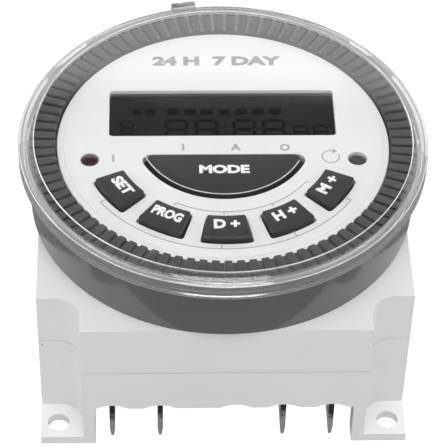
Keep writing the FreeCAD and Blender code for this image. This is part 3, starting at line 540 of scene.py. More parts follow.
finishes = {
    "white_housing": mouldedMaterial("whiteHousing", (0.83, 0.83, 0.84), 0.45, 0.08, 0.012, 7000, 0.05,
                                     dust=0.004, dustColour=(0.5, 0.5, 0.49, 1), dustScale=900),
    "gray_bezel": mouldedMaterial("grayBezel", (0.112, 0.110, 0.115), 0.20, 0.06, 0.06, 6000, 0.05, coat=0.4,
                                  dust=0.015, dustColour=(0.14, 0.14, 0.15, 1), dustScale=1400),
    "dial_white": mouldedMaterial("dialWhite", (0.76, 0.76, 0.765), 0.38, 0.06, 0.01, 8000, 0.04),
    "key_gray": mouldedMaterial("keyGray", (0.027, 0.027, 0.028), 0.42, 0.08, 0.10, 6500, 0.08),
    "reset_gray": mouldedMaterial("resetGray", (0.050, 0.050, 0.051), 0.35, 0.05, 0.08, 6000, 0.06),
    "lcd_glass": mouldedMaterial("lcdGlass", (0.085, 0.085, 0.087), 0.4, 0.04, 0.10, 3000, 0.01),
    "lcd_frame": mouldedMaterial("lcdFrame", (0.05, 0.05, 0.05), 0.5, 0.05, 0.05, 6000, 0.05),
    "conductive_rubber": mouldedMaterial("contactRubber", (0.45, 0.25, 0.28), 0.6, 0.05, 0.25, 4000, 0.1),
    "led_red": mouldedMaterial("lampRed", (0.030, 0.004, 0.010), 0.12, 0.03, 0.15, 2500, 0.02,
                               coat=0.6),
    "silicone": mouldedMaterial("siliconeMat", (0.5, 0.51, 0.52), 0.55, 0.06, 0.05, 3000, 0.08),
    "board_green": mouldedMaterial("boardGreen", (0.02, 0.14, 0.05), 0.35, 0.08, 0.20, 1200, 0.15),
    "chip_black": mouldedMaterial("chipBlack", (0.02, 0.02, 0.02), 0.5, 0.06, 0.15, 9000, 0.15),
    "plated_steel": mouldedMaterial("platedSteel", (0.55, 0.55, 0.56), 0.32, 0.12, 0.10, 5000, 0.10,
                                    metal=1.0),
    "nickel_plate": tabRootShadedMaterial(),
    "pin_brass": mouldedMaterial("pinBrass", (0.70, 0.52, 0.25), 0.3, 0.10, 0.10, 4000, 0.08, metal=1.0),
    "film_red": mouldedMaterial("filmRed", (0.38, 0.06, 0.03), 0.35, 0.06, 0.12, 2500, 0.10),
    "sleeve_black": mouldedMaterial("sleeveBlack", (0.025, 0.025, 0.035), 0.28, 0.05, 0.10, 3000, 0.05),
    "disc_blue": mouldedMaterial("discBlue", (0.03, 0.08, 0.26), 0.35, 0.06, 0.12, 2500, 0.12),
    "resistor_body": mouldedMaterial("resistorBody", (0.16, 0.28, 0.36), 0.4, 0.06, 0.15, 2500, 0.10),
    "relay_blue": mouldedMaterial("relayBlue", (0.03, 0.13, 0.40), 0.3, 0.06, 0.06, 6000, 0.05),
    "coil_copper": mouldedMaterial("coilCopper", (0.50, 0.20, 0.10), 0.35, 0.10, 0.20, 3500, 0.20, metal=1.0),
    "clear_cover": clearPlastic("clearCap"),
}
crownGray = mouldedMaterial("crownGray", (0.062, 0.062, 0.064), 0.42, 0.10, 0.08, 6000, 0.06)
whitePrint = mouldedMaterial("whitePrint", (0.85, 0.85, 0.85), 0.5, 0.05, 0.02, 5000, 0.03)
grayPrint = mouldedMaterial("grayPrint", (0.36, 0.36, 0.365), 0.5, 0.05, 0.05, 5000, 0.03)
titlePrint = mouldedMaterial("titlePrint", (0.27, 0.27, 0.275), 0.5, 0.05, 0.05, 5000, 0.03)
print("materials made:", len(finishes) + 4)


# welds a CAD node's seams and rounds its hard edges
def softenNode(node, width, sharp=30):
    piece = nodes[node]
    weld = piece.modifiers.new("weld", "WELD")
    weld.merge_threshold = 0.000002
    bevel = piece.modifiers.new("edges", "BEVEL")
    bevel.width = width * mm
    bevel.segments = 2
    bevel.limit_method = "ANGLE"
    bevel.angle_limit = math.radians(sharp)
    bevel.harden_normals = False
    normals = piece.modifiers.new("normals", "WEIGHTED_NORMAL")
    normals.keep_sharp = True


slotOf = {part["node"]: part["material_slot"] for part in frame["record"]["subparts"]}
for node, piece in nodes.items():
    slotName = slotOf[node]
    piece.data.materials.clear()
    piece.data.materials.append(finishes.get(slotName, finishes["white_housing"]))
print("CAD nodes dressed")


dialTop = high("face_plate").z
dialLow = low("face_plate").z
dialRadius = high("face_plate").x
keyGap = {"ring": 0.25, "big": 0.6}
keyFlange = {"reach": 0.75, "thick": 0.9, "turn": 2, "corner": 0.3}  # what keeps a key under the dial
ringKey = {"inner": 15.95, "outer": 20.5, "halfTurn": 9.75, "corner": 0.35, "edge": 0.28, "step": 28.0}
bigKey = {"radius": 12.4, "midY": 1.2, "topY": -2.8, "corner": 1.0, "edge": 0.14}
window = {"x": 16.75, "lowY": 1.4, "highY": 11.3, "round": 0.6}
sideMark = {"x": 19.5, "y": -3.6, "led": 1.35, "reset": 1.4}
ringKeys = {"clock_key": -2, "timer_key": -1, "day_key": 0, "hour_key": 1, "minute_key": 2}


def buildDial():
    gap = keyGap["ring"]
    holes = [
        rectangle(-window["x"], window["lowY"], window["x"], window["highY"], window["round"]),
        halfMoon(bigKey["radius"] + keyGap["big"], bigKey["midY"], bigKey["topY"] + keyGap["ring"],
                 bigKey["corner"] + keyGap["big"] / 2),
        circle(sideMark["led"], (-sideMark["x"], sideMark["y"]), 40),
        circle(sideMark["reset"], (sideMark["x"], sideMark["y"]), 40),
    ]
    for place in ringKeys.values():
        holes.append(sector(ringKey["inner"] - gap, ringKey["outer"] + gap,
                            ringKey["halfTurn"] + math.degrees(gap / ringKey["inner"]),
                            place * ringKey["step"], ringKey["corner"] + gap / 2))
    rim = 1.2
    plate = plateWithHoles(circle(dialRadius - rim, count=160), holes, (dialLow, dialTop), 0.06)
    dial = dressMesh("dialPlate", plate, finishes["dial_white"], "base", 30, ["face_plate"])
    edge = polygon([(dialRadius - rim - 0.02, dialLow, 0), (dialRadius - 0.27, dialLow, 0),
                    (dialRadius - 0.27, dialTop - 0.1, 0.05), (dialRadius - rim - 0.02, dialTop - 0.1, 0)], 3)
    verts, faces = lathe(edge())
    makePiece("dialRim", verts, faces, finishes["dial_white"], "base", 30)
    return dial


buildDial()

printed = {"thick": 0.02, "line": 0.17, "outerRing": 21.7, "innerRing": 14.4}


# thin raised patch of ink on the dial
def inkPatch(outline):
    return ringStack(outline, [(0, dialTop - 0.01), (0, dialTop + printed["thick"])])


# arc line; angles are counted in degrees from the side facing -Y
def inkArc(radius, start, end, width):
    def outline(inset=0.0):
        a, b = math.radians(start - 90), math.radians(end - 90)
        count = max(6, int(abs(end - start) * 1.2))
        return (arcPoints((0, 0), radius + width / 2, a, b, count)
                + arcPoints((0, 0), radius - width / 2, b, a, count))
    return inkPatch(outline)


def inkRay(turn, inner, outer, width):
    a = math.radians(turn - 90)
    alongX, alongY = math.cos(a), math.sin(a)
    def outline(inset=0.0):
        side = width / 2
        return [(inner * alongX + side * alongY, inner * alongY - side * alongX),
                (outer * alongX + side * alongY, outer * alongY - side * alongX),
                (outer * alongX - side * alongY, outer * alongY + side * alongX),
                (inner * alongX - side * alongY, inner * alongY + side * alongX)]
    return inkPatch(outline)


def buildPrintedLines():
    line, outer, inner = printed["line"], printed["outerRing"], printed["innerRing"]
    parts = [inkArc(outer, -55.4, 55.8, line), inkArc(inner, -29.7, 54.7, line)]
    for turn in (-55.4, 55.8):
        parts.append(inkRay(turn, outer - 1.1, outer, line))
    for turn in (-2.2, 27.0):
        parts.append(inkRay(turn, outer - 1.1, outer, line))
    for turn in (-29.7, 54.7):
        parts.append(inkRay(turn, inner, inner + 0.5, line))
    for turn in (-1.2, 27.1):
        parts.append(inkRay(turn, inner, inner + 0.5, line))
    verts, faces = merge(parts)
    makePiece("dialLines", verts, faces, grayPrint, "base", 30)


buildPrintedLines()


# raised print: words centred on place, height and width in millimetres
def lettering(name, words, place, height, material, body, z, turn=0.0, width=None, bold=0.0):
    curve = bpy.data.curves.new(name, "FONT")
    curve.body = words
    curve.size = 1.0
    curve.offset = bold
    curve.align_x = "CENTER"
    curve.align_y = "CENTER"
    curve.resolution_u = 3
    holder = bpy.data.objects.new(name + "Curve", curve)
    bpy.context.scene.collection.objects.link(holder)
    bpy.context.view_layer.update()
    flat = bpy.data.meshes.new_from_object(holder.evaluated_get(bpy.context.evaluated_depsgraph_get()))
    bpy.data.objects.remove(holder)
    xs = [v.co.x for v in flat.vertices]
    ys = [v.co.y for v in flat.vertices]
    tall = height / (max(ys) - min(ys))
    wide = tall if width is None else width / (max(xs) - min(xs))
    centreX, centreY = (max(xs) + min(xs)) / 2, (max(ys) + min(ys)) / 2
    angle = math.radians(turn)
    work = bmesh.new()
    work.from_mesh(flat)
    for vert in work.verts:
        x, y = (vert.co.x - centreX) * wide, (vert.co.y - centreY) * tall
        vert.co = Vector((place[0] + x * math.cos(angle) - y * math.sin(angle),
                          place[1] + x * math.sin(angle) + y * math.cos(angle), z - 0.01))
    bmesh.ops.remove_doubles(work, verts=work.verts, dist=0.0005)
    base = list(work.faces)
    raised = bmesh.ops.extrude_face_region(work, geom=base)
    for item in raised["geom"]:
        if isinstance(item, bmesh.types.BMVert):
            item.co.z += printed["thick"] + 0.01
    for vert in work.verts:
        vert.co *= mm
    work.to_mesh(flat)
    work.free()
    return dressMesh(name, flat, material, body, 30)


labels = {
    "labelLeft": ("I", (-5.9, -1.05)), "labelMiddle": ("A", (1.8, -1.1)), "labelRight": ("O", (9.0, -1.2)),
    "labelLamp": ("I", (-16.1, -3.35)),
}
for name, (word, place) in labels.items():
    lettering(name, word, place, 1.45, grayPrint, "base", dialTop, bold=0.04)
lettering("dialTitle", "24 H  7 DAY", (-0.5, 17.95), 2.15, titlePrint, "base", dialTop,
          width=19.6, bold=0.055)


# open circle with an arrow head: put back to the start
def buildResetMark():
    x, y, radius, line = 15.6, -3.2, 1.25, 0.19
    count = 30
    def ring(inset=0.0):
        return (arcPoints((x, y), radius + line / 2, math.radians(70), math.radians(380), count)
                + arcPoints((x, y), radius - line / 2, math.radians(380), math.radians(70), count))
    tip = math.radians(70)
    headX, headY = x + radius * math.cos(tip), y + radius * math.sin(tip)
    def head(inset=0.0):
        return [(headX + 0.62, headY - 0.05), (headX - 0.05, headY + 0.5), (headX - 0.1, headY - 0.52)]
    verts, faces = merge([inkPatch(ring), inkPatch(head)])
    makePiece("resetMark", verts, faces, grayPrint, "base", 30)


buildResetMark()
print("dial built")


legend = {"ring": 17.7, "high": 1.8, "bold": 0.05}
legends = {"clock_key": ("SET", 3.9), "timer_key": ("PROG", 4.6), "day_key": ("D +", 3.7),
           "hour_key": ("H +", 3.7), "minute_key": ("M +", 3.9)}


def buildRingKey(node, place):
    turn = place * ringKey["step"]
    shape = sector(ringKey["inner"], ringKey["outer"], ringKey["halfTurn"], turn, ringKey["corner"])
    foot = sector(ringKey["inner"] - keyFlange["reach"], ringKey["outer"] + keyFlange["reach"],
                  ringKey["halfTurn"] + keyFlange["turn"], turn, keyFlange["corner"])
    keyTop, keyLow = high(node).z, low(node).z
    flangeTop = keyLow + keyFlange["thick"]
    parts = [ringStack(shape, softTop(flangeTop - 0.05, keyTop, ringKey["edge"], 6)),
             ringStack(foot, [(0, keyLow), (0, flangeTop)])]
    verts, faces = merge(parts)
    makePiece(node + "_cap", verts, faces, finishes["key_gray"], node, 50, [node])
    words, width = legends[node]
    angle = math.radians(turn - 90)
    spot = (legend["ring"] * math.cos(angle), legend["ring"] * math.sin(angle))
    lettering(node + "_legend", words, spot, legend["high"], whitePrint, node,
              keyTop, turn=turn, width=width, bold=legend["bold"])


for node, place in ringKeys.items():
    buildRingKey(node, place)


def buildBigKey():
    node = "manual_key"
    shape = halfMoon(bigKey["radius"], bigKey["midY"], bigKey["topY"], bigKey["corner"])
    reach = keyFlange["reach"]
    foot = halfMoon(bigKey["radius"] + reach, bigKey["midY"], bigKey["topY"] + reach, bigKey["corner"])
    keyTop, keyLow = high(node).z, low(node).z
    flangeTop = keyLow + keyFlange["thick"]
    parts = [ringStack(shape, softTop(flangeTop - 0.05, keyTop, bigKey["edge"], 5)),
             ringStack(foot, [(0, keyLow), (0, flangeTop)])]
    verts, faces = merge(parts)
    makePiece("manual_key_cap", verts, faces, finishes["key_gray"], node, 50, [node])
    lettering("manual_key_legend", "MODE", (0, -5.9), 1.75, whitePrint, node, keyTop,
              width=7.3, bold=0.05)
    glint = {"inset": 0.2, "wide": 0.11, "from": 200, "to": 334}
    a, b = math.radians(glint["from"]), math.radians(glint["to"])
    line = bigKey["radius"] - glint["inset"]
    def outline(inset=0.0):
        return (arcPoints((0, bigKey["midY"]), line + glint["wide"] / 2, a, b, 60)
                + arcPoints((0, bigKey["midY"]), line - glint["wide"] / 2, b, a, 60))
    verts, faces = ringStack(outline, [(0, keyTop - 0.02), (0, keyTop + 0.012)])
    makePiece("manual_key_glint", verts, faces, whitePrint, node, 30)


buildBigKey()


resetKey = {"radius": 1.3, "flange": 2.05, "edge": 0.4}


def buildReset():
    node = "reset_key"
    spot = (middle(node).x, middle(node).y)
    top, bottom = high(node).z, low(node).z
    flangeTop = bottom + keyFlange["thick"]
    levels = softTop(flangeTop - 0.05, top, resetKey["edge"], 6)
    parts = [ringStack(circle(resetKey["radius"], spot, 40), levels),
             ringStack(circle(resetKey["flange"], spot, 40), [(0, bottom), (0, flangeTop)])]
    verts, faces = merge(parts)
    makePiece("reset_button", verts, faces, finishes["reset_gray"], node, 50, [node])


buildReset()


statusLamp = {"radius": 1.25, "collar": 1.6, "collarTall": 0.9, "legs": 2.15, "legSide": 0.7, "edge": 0.35}


def buildLamp():
    node = "status_led"
    spot = (middle(node).x, middle(node).y)
    top, flange = high(node).z, low(node).z + statusLamp["legs"]
    flangeTop = flange + statusLamp["collarTall"]
    levels = softTop(flangeTop - 0.05, top, statusLamp["edge"], 6)
    parts = [ringStack(circle(statusLamp["radius"], spot, 48), levels),
             ringStack(circle(statusLamp["collar"], spot, 48), [(0, flange), (0, flangeTop)])]
    for side in (-statusLamp["legSide"], statusLamp["legSide"]):
        leg = circle(0.25, (spot[0] + side, spot[1]), 12)
        parts.append(ringStack(leg, [(0, low(node).z), (0, flange + 0.05)]))
    verts, faces = merge(parts)
    makePiece("lampDome", verts, faces, finishes["led_red"], "base", 45, [node])


buildLamp()
print("keys and lamp built")

mat = {
    "radius": 21.9, "topY": -1.5, "sheet": 0.6, "lampHole": 1.9,
    "domeTop": 32.7, "draft": 0.3, "ring": 18.2, "bigY": -7.7, "keep": 0.64,
    "domeBig": 3.2, "domeReset": 1.5, "domeRing": 2.2,
}


# silicone sheet under the keys, with a dome below each key
def buildMat():
    sheetLow = low("keypad_mat").z
    sheetTop = sheetLow + mat["sheet"]
    lampHole = circle(mat["lampHole"], (-sideMark["x"], sideMark["y"]), 32)
    sheet = plateWithHoles(halfMoon(mat["radius"], 0, mat["topY"], 0.06), [lampHole],
                           (sheetLow, sheetTop), 0.05)
    dressMesh("matSheet", sheet, finishes["silicone"], "base", 35, ["keypad_mat"])
    domes = {"mode_press": ((0, mat["bigY"]), mat["domeBig"]),
             "reset_press": ((sideMark["x"], sideMark["y"]), mat["domeReset"])}
    for node, place in ringKeys.items():
        turn = math.radians(place * ringKey["step"] - 90)
        spot = (mat["ring"] * math.cos(turn), mat["ring"] * math.sin(turn))
        domes[node.replace("_key", "_press")] = (spot, mat["domeRing"])
    for joint, (spot, radius) in domes.items():
        crest = mat["draft"] * radius
        levels = [(0.0, sheetTop - 0.04), (0.06 * radius, sheetTop + 0.02),
                  (crest - 0.1, mat["domeTop"] - 0.06), (crest, mat["domeTop"])]
        verts, faces = ringStack(circle(radius, spot, 40), levels)
        dome = makePiece("dome_" + joint, verts, faces, finishes["silicone"], "base", 40)
        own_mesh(dome)


buildMat()
print("key mat built")


lensTop = high("display_window").z
panelTop = high("lcd_panel").z


# dark tinted pane: part of it passes, the rest is its own gloss
def smokedLens():
    material = bpy.data.materials.new("smokedLens")
    material.use_nodes = True
    tree = material.node_tree
    shader = tree.nodes["Principled BSDF"]
    surface = useGroup(tree, "moulded", Color=(0.004, 0.004, 0.0042, 1), Drift=0.05, Roughness=0.08,
                       Roughness_Spread=0.05)
    tree.links.new(surface.outputs["Color"], shader.inputs["Base Color"])
    tree.links.new(surface.outputs["Roughness"], shader.inputs["Roughness"])
    scuffs = useGroup(tree, "scratches", Scale=500.0, Amount=0.06)
    shade = addNode(tree, "ShaderNodeMath", operation="ADD")
    shade.inputs[1].default_value = 0.35
    tree.links.new(scuffs.outputs["Mask"], shade.inputs[0])
    tree.links.new(shade.outputs[0], shader.inputs["Alpha"])
    shader.inputs["Specular IOR Level"].default_value = 0.3
    return material


finishes["tinted_lens"] = smokedLens()


def buildLens():
    shape = rectangle(-window["x"] + 0.05, window["lowY"] + 0.05, window["x"] - 0.05,
                      window["highY"] - 0.05, window["round"] - 0.05)
    verts, faces = ringStack(shape, softTop(low("display_window").z, lensTop, 0.06))
    makePiece("displayLens", verts, faces, finishes["tinted_lens"], "base", 30,
              ["display_window"])


buildLens()
inkDark = mouldedMaterial("segmentInk", (0.004, 0.004, 0.0045), 0.3, 0.02, 0.05, 3000, 0.01)


segments = {
    "thick": 0.015, "colonX": 0.35, "colonY": (3.1, 5.0), "dot": 0.3, "rowY": (7.3, 8.7),
    "days": (-8.2, 1.8, 2.55, 7), "halves": (-13.4, 1.5, 2.0, 2),  # first x, width, pitch, how many
    "digits": {  # form: width, height, line width, lowest y
        "hours": {"form": (3.0, 4.0, 0.55, 2.1), "xs": (-8.3, -3.8, 1.8, 6.2)},
        "seconds": {"form": (2.0, 2.7, 0.38, 2.1), "xs": (10.7, 13.6)},
        "programme": {"form": (1.7, 2.6, 0.34, 3.3), "xs": (-15.0,)},
    },
}


# one pointed display segment as an outline
def segmentStrip(x, y, wide, tall, upright):
    half = wide / 2
    if upright:
        points = [(x, y), (x + half, y + half), (x + half, y + tall - half), (x, y + tall),
                  (x - half, y + tall - half), (x - half, y + half)]
    else:
        points = [(x, y), (x + half, y - half), (x + tall - half, y - half), (x + tall, y),
                  (x + tall - half, y + half), (x + half, y + half)]
    return ringStack(lambda inset=0.0: points, [(0, panelTop), (0, panelTop + segments["thick"])])


# all seven segments of a digit, none lit
def digit(x, y, wide, tall, line):
    half = tall / 2
    gap = line * 0.18
    parts = []
    for row in range(3):
        parts.append(segmentStrip(x + gap, y + row * half, line, wide - 2 * gap, False))
    for column in (0, wide):
        for row in range(2):
            parts.append(segmentStrip(x + column, y + row * half + gap, line, half - 2 * gap, True))
    return parts


def buildSegments():
    parts = []
    inkLevels = [(0, panelTop), (0, panelTop + segments["thick"])]
    for place in segments["digits"].values():
        wide, tall, line, y = place["form"]
        for x in place["xs"]:
            parts += digit(x, y, wide, tall, line)
    for y in segments["colonY"]:
        parts.append(ringStack(circle(segments["dot"], (segments["colonX"], y), 16), inkLevels))
    lowY, highY = segments["rowY"]
    for start, wide, pitch, count in (segments["days"], segments["halves"]):
        for k in range(count):
            block = rectangle(start + k * pitch, lowY, start + wide + k * pitch, highY, 0.2, 3)
            parts.append(ringStack(block, inkLevels))
    verts, faces = merge(parts)
    makePiece("displaySegments", verts, faces, inkDark, "base", 30)


buildSegments()
print("display built")


crown = {"teeth": 90, "radius": 28.2, "bore": dialRadius + 0.07, "corner": 0.16,
         "grooveWide": 0.62, "grooveLow": 35.25, "edge": 0.12}
skirt = {"radius": high("bezel").x, "wall": 1.2, "top": 34.3, "shelf": 0.9}


def buildBezel():
    bottom = low("bezel").z
    bore, inside = crown["bore"], crown["bore"] - skirt["shelf"]
    profile = [
        (skirt["radius"] - skirt["wall"], bottom, 0.1), (skirt["radius"], bottom, 0.12),
        (skirt["radius"], skirt["top"], 0.12), (crown["radius"], skirt["top"] + 0.001, 0.05),
        (crown["radius"], crown["grooveLow"], 0.05), (bore, crown["grooveLow"] + 0.001, 0),
        (bore, dialLow, 0), (inside, dialLow, 0), (inside, dialLow - 1, 0),
        (skirt["radius"] - skirt["wall"], dialLow - 1, 0),
    ]
    verts, faces = lathe(roundedPolygon(profile, 0, 4), 256)
    return makePiece("bezelSkirt", verts, faces, finishes["gray_bezel"], "base", 35, ["bezel"])


# one raised tooth of the crown, centred on an angle, its four corners rounded
def toothOutline(angle):
    bore, outer, half = crown["bore"], crown["radius"], crown["grooveWide"] / 2
    step = math.pi / crown["teeth"]
    corners = []
    for ring, side in ((outer, -1), (outer, 1), (bore, 1), (bore, -1)):
        at = angle + side * (step - math.asin(half / ring))
        corners.append((ring * math.cos(at), ring * math.sin(at), crown["corner"]))
    return polygon(corners, 3)


def buildCrown():
    top = high("bezel").z
    parts = []
    for k in range(crown["teeth"]):
        angle = math.tau * (k + 0.5) / crown["teeth"]
        levels = softTop(crown["grooveLow"] - 0.05, top, crown["edge"], 3)
        parts.append(ringStack(toothOutline(angle), levels, capLow=False))
    verts, faces = merge(parts)
    return makePiece("bezelCrown", verts, faces, crownGray, "base", 40)


buildBezel()
buildCrown()
print("bezel built")


edgeShade = mouldedMaterial("shadedEdge", (0.27, 0.27, 0.28), 0.3, 0.2, 0.3, 700, 0.2)
# painted highlight: pale diffuse colour for thin lines along the cap's edges
paintedHighlightWhite = mouldedMaterial("paintedEdgeHighlight", (0.80, 0.80, 0.81), 0.25, 0.2, 0.3, 700, 0.2)
cap = {"flat": 27.8, "radius": 30.0, "thick": 0.8, "shoulder": 36.2, "innerRim": 28.7, "step": 0.42}
capFilm = {"inset": 0.06, "skin": 0.03, "shoulder": 0.08, "crest": 0.37}  # how far inside the cap's faces
capTab = {"half": 1.85, "inner": 29.2, "outer": 30.8, "low": 35.1, "high": 36.8, "edge": 0.15, "turn": 10.3}


def buildCap():
    bottom, top = low("clear_cover").z, high("clear_cover").z
    profile = [
        (cap["flat"] - 0.2, top - cap["thick"], 0.3), (cap["innerRim"], cap["shoulder"] - cap["step"], 0.15),
        (cap["innerRim"], bottom, 0.1), (cap["radius"], bottom, 0.12), (cap["radius"], cap["shoulder"], 0.22),
        (cap["flat"], top, 0.15),
    ]
    flatEnd = [(cap["flat"] - 4, top, 0), (cap["flat"] - 4, top - cap["thick"], 0)]
    ring = roundedPolygon(profile + flatEnd, 0, 5)
    ring = [(0, top - cap["thick"])] + ring[:-2] + [(0, top)]
    verts, faces = lathe(ring, 256)
    makePiece("clearCap", verts, faces, finishes["clear_cover"], "cover", 40, ["clear_cover"])
    # painted reflection: a white film inside the cap's sloping wall
    film, skin = cap["radius"] - capFilm["inset"], capFilm["skin"]
    foot, shoulder = bottom + capFilm["inset"], cap["shoulder"] - capFilm["shoulder"]
    crest = top - capFilm["crest"]
    sheet = [(film - skin, foot), (film, foot), (film, shoulder), (cap["innerRim"], crest),
             (cap["innerRim"], crest - skin), (film - skin, shoulder - skin)]
    verts, faces = lathe(sheet, 256)
    makePiece("capPaintedReflection", verts, faces, paintedReflectionFilm(), "cover", 40)
    # painted highlights: thin pale beads along the flat top's edge, the shoulder and the foot of the cap
    beads = []
    for ring, wide, z in ((cap["flat"], 0.14, top - 0.03),
                          (cap["radius"] - 0.12, 0.10, cap["shoulder"] - 0.03),
                          (cap["radius"] - 0.05, 0.12, bottom + 0.02)):
        inside, below, above = ring - wide, z - 0.02, z + 0.015
        beads.append(lathe([(inside, below), (ring, below), (ring, above), (inside, above)], 256))
    verts, faces = merge(beads)
    makePiece("capPaintedHighlights", verts, faces, paintedHighlightWhite, "cover", 40)
    ring, wide, z = cap["radius"] - 0.45, 0.26, cap["shoulder"] + 0.10
    verts, faces = lathe([(ring - wide, z - 0.01), (ring, z - 0.04), (ring, z), (ring - wide, z + 0.03)], 256)
    makePiece("capShadowLine", verts, faces, edgeShade, "cover", 40)
    half, inner, outer = capTab["half"], capTab["inner"], capTab["outer"]
    tab = polygon([(-half, inner, 0.1), (half, inner, 0.1), (half, outer, 0.3), (-half, outer, 0.3)], 4)
    verts, faces = ringStack(tab, softBoth(capTab["low"], capTab["high"], capTab["edge"]))
    turn = math.radians(capTab["turn"])
    verts = [(x * math.cos(turn) - y * math.sin(turn), x * math.sin(turn) + y * math.cos(turn), z)
             for x, y, z in verts]
    makePiece("capTab", verts, faces, finishes["clear_cover"], "cover", 40)


buildCap()
print("clear cap built")


caseNotch = {"x": 6.35, "y": 6.4, "bend": 3.7}


# outline of the notched case
def caseOutline(inset=0.0):
    halfX, halfY, bend = high("upper_shell").x, high("upper_shell").y, caseNotch["bend"]
    innerX, innerY = halfX - caseNotch["x"], halfY - caseNotch["y"]
    corners = []
    for sx, sy in ((-1, -1), (1, -1), (1, 1), (-1, 1)):
        three = [(sx * halfX, sy * innerY, 0.1), (sx * innerX, sy * innerY, bend),
                 (sx * innerX, sy * halfY, 0.1)]
        corners += three if sx * sy > 0 else three[::-1]
    return roundedPolygon(corners, inset, 8)


# fine shadow line where the two halves of the case meet
def buildSeam():
    seam = low("upper_shell").z
    proud, half = 0.006, 0.045
    verts, faces = ringStack(caseOutline, [(-proud, seam - half), (-proud, seam + half)])
    makePiece("caseSeam", verts, faces, seamGray, "base", 30)


seamGray = mouldedMaterial("seamGray", (0.48, 0.48, 0.485), 0.6, 0.05, 0.25, 300, 0.0)
buildSeam()

for node, width in (("lower_shell", 0.12), ("upper_shell", 0.12), ("case_screws", 0.1)):
    softenNode(node, width)
for count in range(1, 5):
    softenNode(f"terminal_blade_{count}", 0.06)


stage = {
    "floorColour": (0.80, 0.80, 0.80), "floorGlow": 1.15, "floorMirrored": 0.25,
    "front": 0.45, "behind": 1.5, "darkBand": 0.05, "bandLow": 0.646, "bandHigh": 0.664, "above": 0.35,
}


# pale floor that shows as plain white behind the object
def floorMaterial():
    material = mouldedMaterial("paleFloor", stage["floorColour"], 0.7, 0.05, 0.004, 400, 0.0)
    tree = material.node_tree
    seen = addNode(tree, "ShaderNodeLightPath")
    glow = addNode(tree, "ShaderNodeEmission")
    glow.inputs["Strength"].default_value = stage["floorGlow"]
    both = addNode(tree, "ShaderNodeMixShader")
    tree.links.new(seen.outputs["Is Camera Ray"], both.inputs[0])
    mirrored = addNode(tree, "ShaderNodeEmission")  # a darker table top in polished parts
    mirrored.inputs["Strength"].default_value = stage["floorMirrored"]
    lit = addNode(tree, "ShaderNodeMixShader")
    tree.links.new(seen.outputs["Is Glossy Ray"], lit.inputs[0])
    tree.links.new(tree.nodes["Principled BSDF"].outputs[0], lit.inputs[1])
    tree.links.new(mirrored.outputs[0], lit.inputs[2])
    tree.links.new(lit.outputs[0], both.inputs[1])
    tree.links.new(glow.outputs[0], both.inputs[2])
    facing = addNode(tree, "ShaderNodeNewGeometry")  # seen from below, the floor is not there
    close = addNode(tree, "ShaderNodeMath", operation="LESS_THAN")  # nor for what stands on it
    close.inputs[1].default_value = 0.0004
    tree.links.new(seen.outputs["Ray Length"], close.inputs[0])
    unseen = addNode(tree, "ShaderNodeMath", operation="MAXIMUM")
    tree.links.new(facing.outputs["Backfacing"], unseen.inputs[0])
    tree.links.new(close.outputs[0], unseen.inputs[1])
    gone = addNode(tree, "ShaderNodeBsdfTransparent")
    whole = addNode(tree, "ShaderNodeMixShader")
    tree.links.new(unseen.outputs[0], whole.inputs[0])
    tree.links.new(both.outputs[0], whole.inputs[1])
    tree.links.new(gone.outputs[0], whole.inputs[2])
    tree.links.new(whole.outputs[0], tree.nodes["Material Output"].inputs["Surface"])
    return material


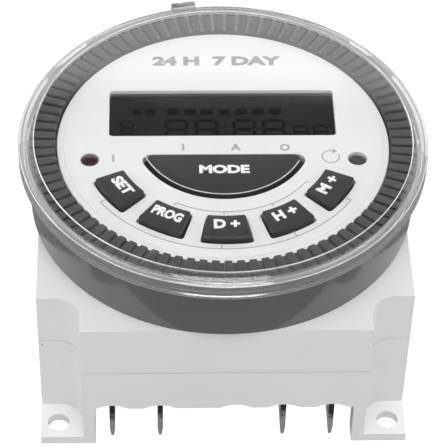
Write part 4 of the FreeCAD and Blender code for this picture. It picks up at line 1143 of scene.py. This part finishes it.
# soft room: bright low down behind the object, dark in a band above that, mild elsewhere
def buildWorld():
    world = bpy.data.worlds.new("studio")
    bpy.context.scene.world = world
    world.use_nodes = True
    tree = world.node_tree
    place = addNode(tree, "ShaderNodeTexCoord")
    axes = addNode(tree, "ShaderNodeSeparateXYZ")
    tree.links.new(place.outputs["Generated"], axes.inputs[0])
    rise, depth = axes.outputs["Z"], axes.outputs["Y"]
    lowPart = mapRange(tree, rise, stage["bandLow"], stage["bandHigh"], stage["behind"], stage["darkBand"])
    back = mapRange(tree, rise, 0.80, 0.88, lowPart, stage["above"])
    whole = mapRange(tree, depth, -0.05, 0.15, stage["front"], back)
    seen = addNode(tree, "ShaderNodeLightPath")  # the background itself shows as plain white
    shown = mapRange(tree, seen.outputs["Is Camera Ray"], 0.0, 1.0, whole, stage["floorGlow"])
    tree.links.new(shown, tree.nodes["Background"].inputs["Strength"])
    tree.nodes["Background"].inputs["Color"].default_value = (1, 1, 1, 1)


def buildStage():
    mesh = bpy.data.meshes.new("floor")
    side, depth = 3.0, -0.00005
    mesh.from_pydata([(-side, -side, depth), (side, -side, depth), (side, side, depth), (-side, side, depth)],
                     [], [(0, 1, 2, 3)])
    floor = bpy.data.objects.new("floor", mesh)
    floor.data.materials.append(floorMaterial())
    bpy.context.scene.collection.objects.link(floor)
    buildWorld()


lamps = {
    # name: (position, aimed at, size, power)
    "overhead": ((0.0, -0.25, 0.9), (0, 0, 0), 0.4, 3.9),
    "leftSide": ((-0.7, -0.1, 0.35), (0, 0, 0.02), 0.4, 0.6),
    "rightSide": ((0.7, 0.0, 0.35), (0, 0, 0.02), 0.4, 0.6),
}


def buildLamps():
    for name, (place, target, size, power) in lamps.items():
        data = bpy.data.lights.new(name, "AREA")
        data.energy = power
        data.size = size
        lamp = bpy.data.objects.new(name, data)
        lamp.location = place
        lamp.rotation_mode = "QUATERNION"
        lamp.rotation_quaternion = (Vector(target) - Vector(place)).to_track_quat("-Z", "Y")
        bpy.context.scene.collection.objects.link(lamp)


view = {"place": (-0.01112, -0.22917, 0.25205), "right": (0.99935, -0.02898, 0.02116),
        "up": (0.00589, 0.71417, 0.69995), "lens": 172.7}


def buildCamera():
    data = bpy.data.cameras.new("camera")
    data.lens = view["lens"]
    data.sensor_width = 36.0
    data.clip_start = 0.01
    data.clip_end = 20.0
    camera = bpy.data.objects.new("camera", data)
    right, up = Vector(view["right"]).normalized(), Vector(view["up"]).normalized()
    back = right.cross(up).normalized()
    up = back.cross(right)
    turn = Matrix((right, up, back)).transposed()
    camera.matrix_world = Matrix.Translation(view["place"]) @ turn.to_4x4()
    bpy.context.scene.collection.objects.link(camera)
    bpy.context.scene.camera = camera


buildStage()
buildLamps()
buildCamera()
bpy.context.scene.view_settings.view_transform = "Standard"
print("stage ready")
